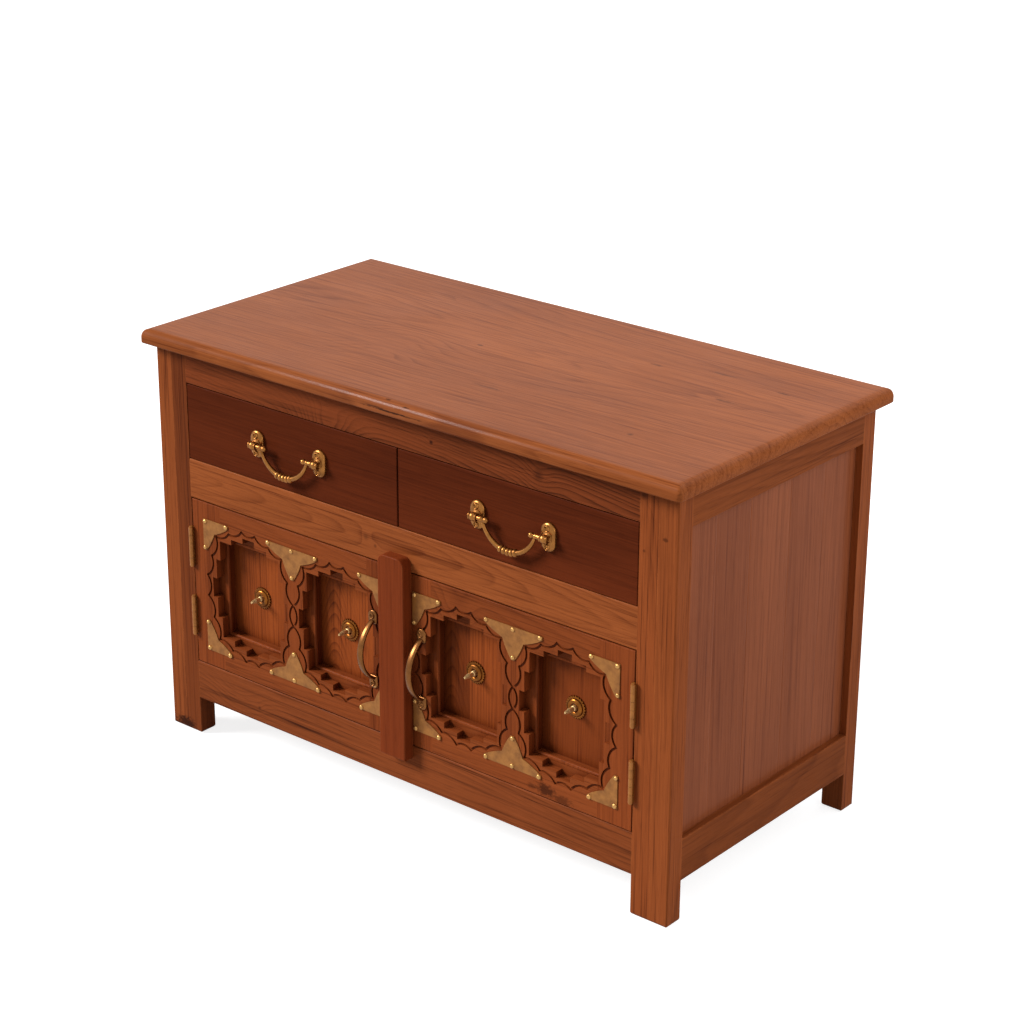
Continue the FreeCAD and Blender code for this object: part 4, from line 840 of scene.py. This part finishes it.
def bail_end(centre, way):
    """Pin of the bail along X: a small knob inside the bow, a collar at it and a plain end in the eye."""
    half = BAIL_SPAN / 2
    ball, round_off = arc((half - KNOB_INSET, 0), BAIL_KNOB, 180, 40, 9)
    after, wide = np.array(BAIL_COLLAR).T
    distance = np.concatenate([ball, half + after, [BAIL_PITCH / 2 + PAST_EYE]])
    radius = np.concatenate([round_off, wide, wide[-1:]])
    return turned(centre, (way, 0, 0), distance, radius, 24)


def pull_plate(place):
    """Back plate of a drawer pull: a thick obround casting with a soft edge, and a lug with an eye along X.

    The rim is two half circles joined by straight sides; the lug is turned about -Y and ends in a ball;
    a ring lies round the eye on either side of it.
    """
    top = np.stack(arc((0, PLATE_STRAIGHT), PLATE_END, 0, 180, 25), -1)
    low = np.stack(arc((0, -PLATE_STRAIGHT), PLATE_END, 180, 360, 25), -1)
    neck, wide = np.array(LUG_NECK).T
    ball, round_off = arc((BAIL_REACH, 0), LUG_BALL, 125, 0, 14)
    lug = turned(place, FORWARD, np.concatenate([neck, ball]), np.concatenate([wide, round_off]), 28)
    shells = [crowned(place, np.concatenate([top, low]), PLATE_CROWN), lug]
    spin, fine = circle(28)[:, None], circle(12)
    out = EYE_RING + EYE_WIRE * np.cos(fine)
    y = np.cos(spin) * out - BAIL_REACH
    z = np.sin(spin) * out
    for way in (-1, 1):
        x = np.broadcast_to(way * EYE_APART + EYE_WIRE * np.sin(fine), y.shape)
        shells.append(hoop(np.asarray(place) + np.stack([x, y, z], -1)))
    return shells


def ring_screw(place, radius):
    """Screw head: a turned round rim about a hollow with a small point in the middle.

    Its height is a bell curve at the rim and a lower one at the middle.
    """
    share = np.linspace(1, 0, 25)
    rim = np.exp(-(((share - 0.72) / 0.22) ** 2)) + 0.45 * np.exp(-((share / 0.16) ** 2))
    distance = np.concatenate([[-HEAD_SINK], SCREW_RISE * np.where(share > 0.99, 0.0, rim)])
    return turned(place, FORWARD, distance, np.concatenate([[1.0], share]) * radius, 28)


def nail_head(place):
    """Round nail head: a dome with a soft dimple at its crown."""
    share = np.linspace(1, 0, 13)
    dome = NAIL_RISE * np.sqrt(np.clip(1 - share ** 2, 0, 1)) - NAIL_DIMPLE * np.exp(-((share / 0.3) ** 2))
    distance = np.concatenate([[-HEAD_SINK], dome])
    radius = np.concatenate([[1.0], share]) * NAIL_RADIUS
    return turned(place, FORWARD, distance, radius, 20)


def fixing_spots(side, rise):
    """Middles of the door's round heads that reach a height above its face, on the plate under them."""
    solid = nodes["%s_door_fixings" % side].data
    points = np.empty(3 * len(solid.vertices))
    solid.vertices.foreach_get("co", points)
    points = points.reshape(-1, 3)
    tops = points[np.abs(points[:, 1] - FACE + rise) < 0.0001]
    cells = np.unique(np.round(tops[:, [0, 2]] / SPOT_CELL).astype(int), axis=0)
    spots = []
    for cell in cells:
        near = tops[(np.abs(tops[:, [0, 2]] / SPOT_CELL - cell) < 0.51).all(1)]
        spots.append(np.array([near[:, 0].mean(), FACE - PLATE_SHEET, near[:, 2].mean()]))
    return spots


def rosette(place):
    """Boss of a door panel: a toothed disc, a fat round ring and a hollow.

    It is turned, and the disc's radius is drawn in between its teeth by a wave round the turn.
    """
    disc_up, disc_out = np.array(ROSETTE_DISC).T
    ring_out, ring_up = arc(ROSETTE_RING, ROSETTE_BEAD, 8, 172, 19)
    hollow_up, hollow_out = np.array(ROSETTE_HOLLOW).T
    distance = np.concatenate([disc_up, ring_up, hollow_up])
    radius = np.concatenate([disc_out, ring_out, hollow_out])
    teeth = 1 - TOOTH_DEPTH * np.clip(0.5 - 0.9 * np.cos(circle(240) * ROSETTE_TEETH), 0, 1)
    edge = np.clip((radius / ROSETTE_RADIUS - 0.82) / 0.15, 0, 1)[:, None]
    radius = radius[:, None] * (edge * teeth + 1 - edge)
    return turned(place, FORWARD, distance, radius, len(teeth))


def rosette_pin(place):
    """Stout turned pin in a boss: a collar at its root, a plain shaft, a small bead and a blunt point."""
    return turned(place, FORWARD, *np.array(ROSETTE_PIN).T)


def door_bow(place, pitch):
    """Strap of the door pull: a flat oval section swept along an arc that stands off the door.

    Half width and half thickness shrink from the middle to the ends by the square of the way along.
    """
    half = pitch / 2 - BOW_INSET
    stand = PULL_REACH - BOW_DEEP
    bend = (half ** 2 + stand ** 2) / (2 * stand)
    share = np.linspace(-1, 1, 65)
    turn = share * math.asin(half / bend)
    out = np.stack([0 * turn, -np.cos(turn), np.sin(turn)], -1)
    path = np.asarray(place) + np.array([0, bend - stand, 0]) + bend * out
    wide = (BOW_WIDE - BOW_NARROWS * share ** 2)[:, None, None]
    deep = (BOW_DEEP - BOW_THINS * share ** 2)[:, None, None]
    angle = circle(28)
    flat = np.sign(np.cos(angle)) * np.abs(np.cos(angle)) ** 0.7
    round_off = np.sign(np.sin(angle)) * np.abs(np.sin(angle)) ** 0.8
    across = wide * flat[:, None] * np.array([1.0, 0, 0]) + deep * round_off[:, None] * out[:, None, :]
    return tube(path[:, None, :] + across)


def pull_foot(place, toward):
    """Foot of the door pull: a softly crowned lobe, round at its far end, with round shoulders at the bow."""
    far = np.stack(arc((0, -FOOT_BACK), FOOT_END, 180, 360, 25), -1)
    near = np.stack(arc(SHOULDER_AT, FOOT_SHOULDER, 0, 90, 9), -1)
    rim = np.concatenate([far, near, near[::-1] * np.array([-1, 1])]) * np.array([1, toward])
    return crowned(place, rim, FOOT_CROWN)


for side, sign in SIDES.items():
    door, drawer = "%s_door" % side, "%s_drawer" % side
    low, high = corners("%s_door_panels" % side)
    muntin_low, muntin_high = corners("%s_door_muntin" % side)
    reach = (high[2] - low[2]) / 2 - PANEL_TONGUE
    ends = np.array([low[0] + PANEL_TONGUE, muntin_low[0], muntin_high[0], high[0] - PANEL_TONGUE])
    level = (low[2] + high[2]) / 2
    middles = (ends[0::2] + ends[1::2]) / 2
    frames = [bead_frame((middle, level), (ends[1] - ends[0]) / 2, reach) for middle in middles]
    piece("%s_panel_beads" % side, door, DOOR_STILE_WOOD, frames)
    spots = [(middle, low[1], level - drop) for middle, drop in zip(middles, ROSETTE_DROPS[side])]
    bosses = [rosette(spot) for spot in spots]
    piece("%s_panel_rosettes" % side, door, BOSS_BRASS, bosses, ["%s_rosettes" % side])
    piece("%s_rosette_pins" % side, door, PIN_BRASS, [rosette_pin(spot) for spot in spots])

    low, high = corners("%s_bail" % side)
    hang = np.array([(low[0] + high[0]) / 2, corners("%s_drawer_front" % side)[0][1], high[2] - BAIL_TOP])
    swing = hang - np.array([0, BAIL_REACH, 0])
    shells = [bail_bow(swing), bail_end(swing, -1), bail_end(swing, 1)]
    piece("%s_drawer_bail" % side, "%s_bail" % side, CAST_BRASS, shells, ["%s_bail" % side])
    plates = [hang + np.array([end * BAIL_PITCH / 2, 0, 0]) for end in (-1, 1)]
    piece(
        "%s_bail_plates" % side, drawer, CAST_BRASS,
        [shell for plate in plates for shell in pull_plate(plate)], ["%s_pull_plates" % side],
    )
    heads = [
        ring_screw(plate + np.array([0, -PLATE_FACE, rise * SCREW_PITCH / 2]), BAIL_SCREW)
        for plate in plates for rise in (-1, 1)
    ]
    piece("%s_bail_screws" % side, drawer, CAST_BRASS, heads, ["%s_pull_screws" % side])

    low, high = corners("%s_door_pull" % side)
    hold = np.array([(low[0] + high[0]) / 2, FACE, (low[2] + high[2]) / 2 + PULL_LIFT[side]])
    feet = {rise: hold + np.array([0, 0, rise * PULL_PITCH[side] / 2]) for rise in (-1, 1)}
    shells = [door_bow(hold, PULL_PITCH[side])]
    for rise, foot in feet.items():
        screw = foot + np.array([0, -FOOT_FACE, rise * PULL_SCREW_OUT])
        shells += [pull_foot(foot, -rise), ring_screw(screw, PULL_SCREW)]
    piece("%s_bow_pull" % side, door, PULL_BRASS, shells, ["%s_door_pull" % side])
    heads = [nail_head(spot) for spot in fixing_spots(side, NAIL_TOP)]
    piece("%s_door_nails" % side, door, NAIL_BRASS, heads, ["%s_door_fixings" % side])


# Floor, light and camera
FLOOR_HALF = 6.0
FLOOR_LINES = 13
FLOOR_NEAR, FLOOR_FAR = 0.6, 1.8
FLOOR_DROP = 0.0005
FLOOR_GREY = (0.48, 0.48, 0.48, 1)
FLOOR_SHADE = 0.82
FLOOR_MIRRORED = 0.55
SOFT_LIGHT = 0.28
SUN_AWAY = 6.0
LENS = 90.0
SENSOR = 36.0
CAMERA_PLACE = (2.0279, -2.4203, 1.6460)
CAMERA_AZIMUTH = math.radians(39.722)
CAMERA_ELEVATION = math.radians(21.933)
CAMERA_ROLL = 0.00542


def floor():
    """Pale floor: a wide square sheet that shows the shadow of the cabinet.

    It glows to the eye, less near the cabinet than far from it, and glows in metal and lacquer too.
    """
    span = np.linspace(-FLOOR_HALF, FLOOR_HALF, FLOOR_LINES)
    x, y = np.meshgrid(span, span, indexing="ij")
    points = np.stack([x, y, 0 * x - FLOOR_DROP], -1).reshape(-1, 3)
    mesh = bpy.data.meshes.new("studio_floor")
    faces = grid_faces(FLOOR_LINES, FLOOR_LINES)[:, ::-1]
    mesh.from_pydata(points.tolist(), [], faces.tolist())
    made = bpy.data.objects.new("studio_floor", mesh)
    bpy.context.scene.collection.objects.link(made)
    paint, tree, skin = blank_finish("studio_floor")
    skin.inputs["Base Color"].default_value = FLOOR_GREY
    skin.inputs["Roughness"].default_value = 0.9
    skin.inputs["Specular IOR Level"].default_value = 0.0
    rays = add(tree, "ShaderNodeLightPath").outputs
    place = add(tree, "ShaderNodeTexCoord").outputs["Object"]
    away = vectors(tree, "LENGTH", place).outputs["Value"]
    shade = spread(tree, away, FLOOR_NEAR, FLOOR_FAR, FLOOR_SHADE, 1.0)
    mirrored = sums(tree, "MAXIMUM", rays["Is Glossy Ray"], rays["Is Transmission Ray"])
    mirrored = sums(tree, "MULTIPLY", mirrored, FLOOR_MIRRORED)
    seen = sums(tree, "MAXIMUM", sums(tree, "MULTIPLY", rays["Is Camera Ray"], shade), mirrored)
    glow = add(tree, "ShaderNodeEmission", {"Color": (1, 1, 1, 1), "Strength": seen})
    both = add(tree, "ShaderNodeAddShader", {0: skin.outputs[0], 1: glow.outputs[0]})
    tree.links.new(both.outputs[0], tree.nodes["Material Output"].inputs["Surface"])
    mesh.materials.append(paint)


def studio():
    """White surroundings to the eye, a soft grey light to the object."""
    world = bpy.data.worlds.new("studio")
    bpy.context.scene.world = world
    world.use_nodes = True
    tree = world.node_tree
    rays = add(tree, "ShaderNodeLightPath").outputs
    seen = sums(tree, "MAXIMUM", rays["Is Camera Ray"], rays["Is Glossy Ray"])
    seen = sums(tree, "MAXIMUM", seen, rays["Is Transmission Ray"])
    strength = sums(tree, "MULTIPLY_ADD", seen, 1 - SOFT_LIGHT, SOFT_LIGHT)
    tree.nodes["Background"].inputs["Color"].default_value = (1, 1, 1, 1)
    tree.links.new(strength, tree.nodes["Background"].inputs["Strength"])


def stand(data, place, turn):
    """Object of a lamp or camera at a place, turned."""
    made = bpy.data.objects.new(data.name, data)
    made.location = place
    made.rotation_mode = "QUATERNION"
    made.rotation_quaternion = turn
    bpy.context.scene.collection.objects.link(made)
    return made


def lamp(name, place, aim, size, power):
    """Square soft light at a place, turned to a point."""
    light = bpy.data.lights.new(name, "AREA")
    light.size = size
    light.energy = power
    stand(light, place, (Vector(aim) - Vector(place)).to_track_quat("-Z", "Y"))


def sun(name, way, angle, strength):
    """Even light from afar; way points towards it and angle is how wide it looks."""
    light = bpy.data.lights.new(name, "SUN")
    light.angle = angle
    light.energy = strength
    stand(light, Vector(way) * SUN_AWAY, Vector(way).to_track_quat("Z", "Y"))


def camera():
    """Camera at the place, angle and lens that the photo's straight edges give."""
    lens = bpy.data.cameras.new("photo_camera")
    lens.lens = LENS
    lens.sensor_width = SENSOR
    level = math.cos(CAMERA_ELEVATION)
    forward = Vector((
        -math.sin(CAMERA_AZIMUTH) * level, math.cos(CAMERA_AZIMUTH) * level, -math.sin(CAMERA_ELEVATION),
    ))
    turn = forward.to_track_quat("-Z", "Y") @ Quaternion((0, 0, 1), CAMERA_ROLL)
    bpy.context.scene.camera = stand(lens, CAMERA_PLACE, turn)


floor()
studio()
sun("key", (-0.645, -0.53, 0.55), math.radians(22), 3.75)
lamp("fill", (2.9, 0.5, 1.7), (0, 0, 0.3), 3.0, 55)
lamp("back", (0.6, 2.6, 2.4), (0, 0, 0.4), 2.0, 45)
camera()
bpy.context.scene.view_settings.view_transform = "Standard"
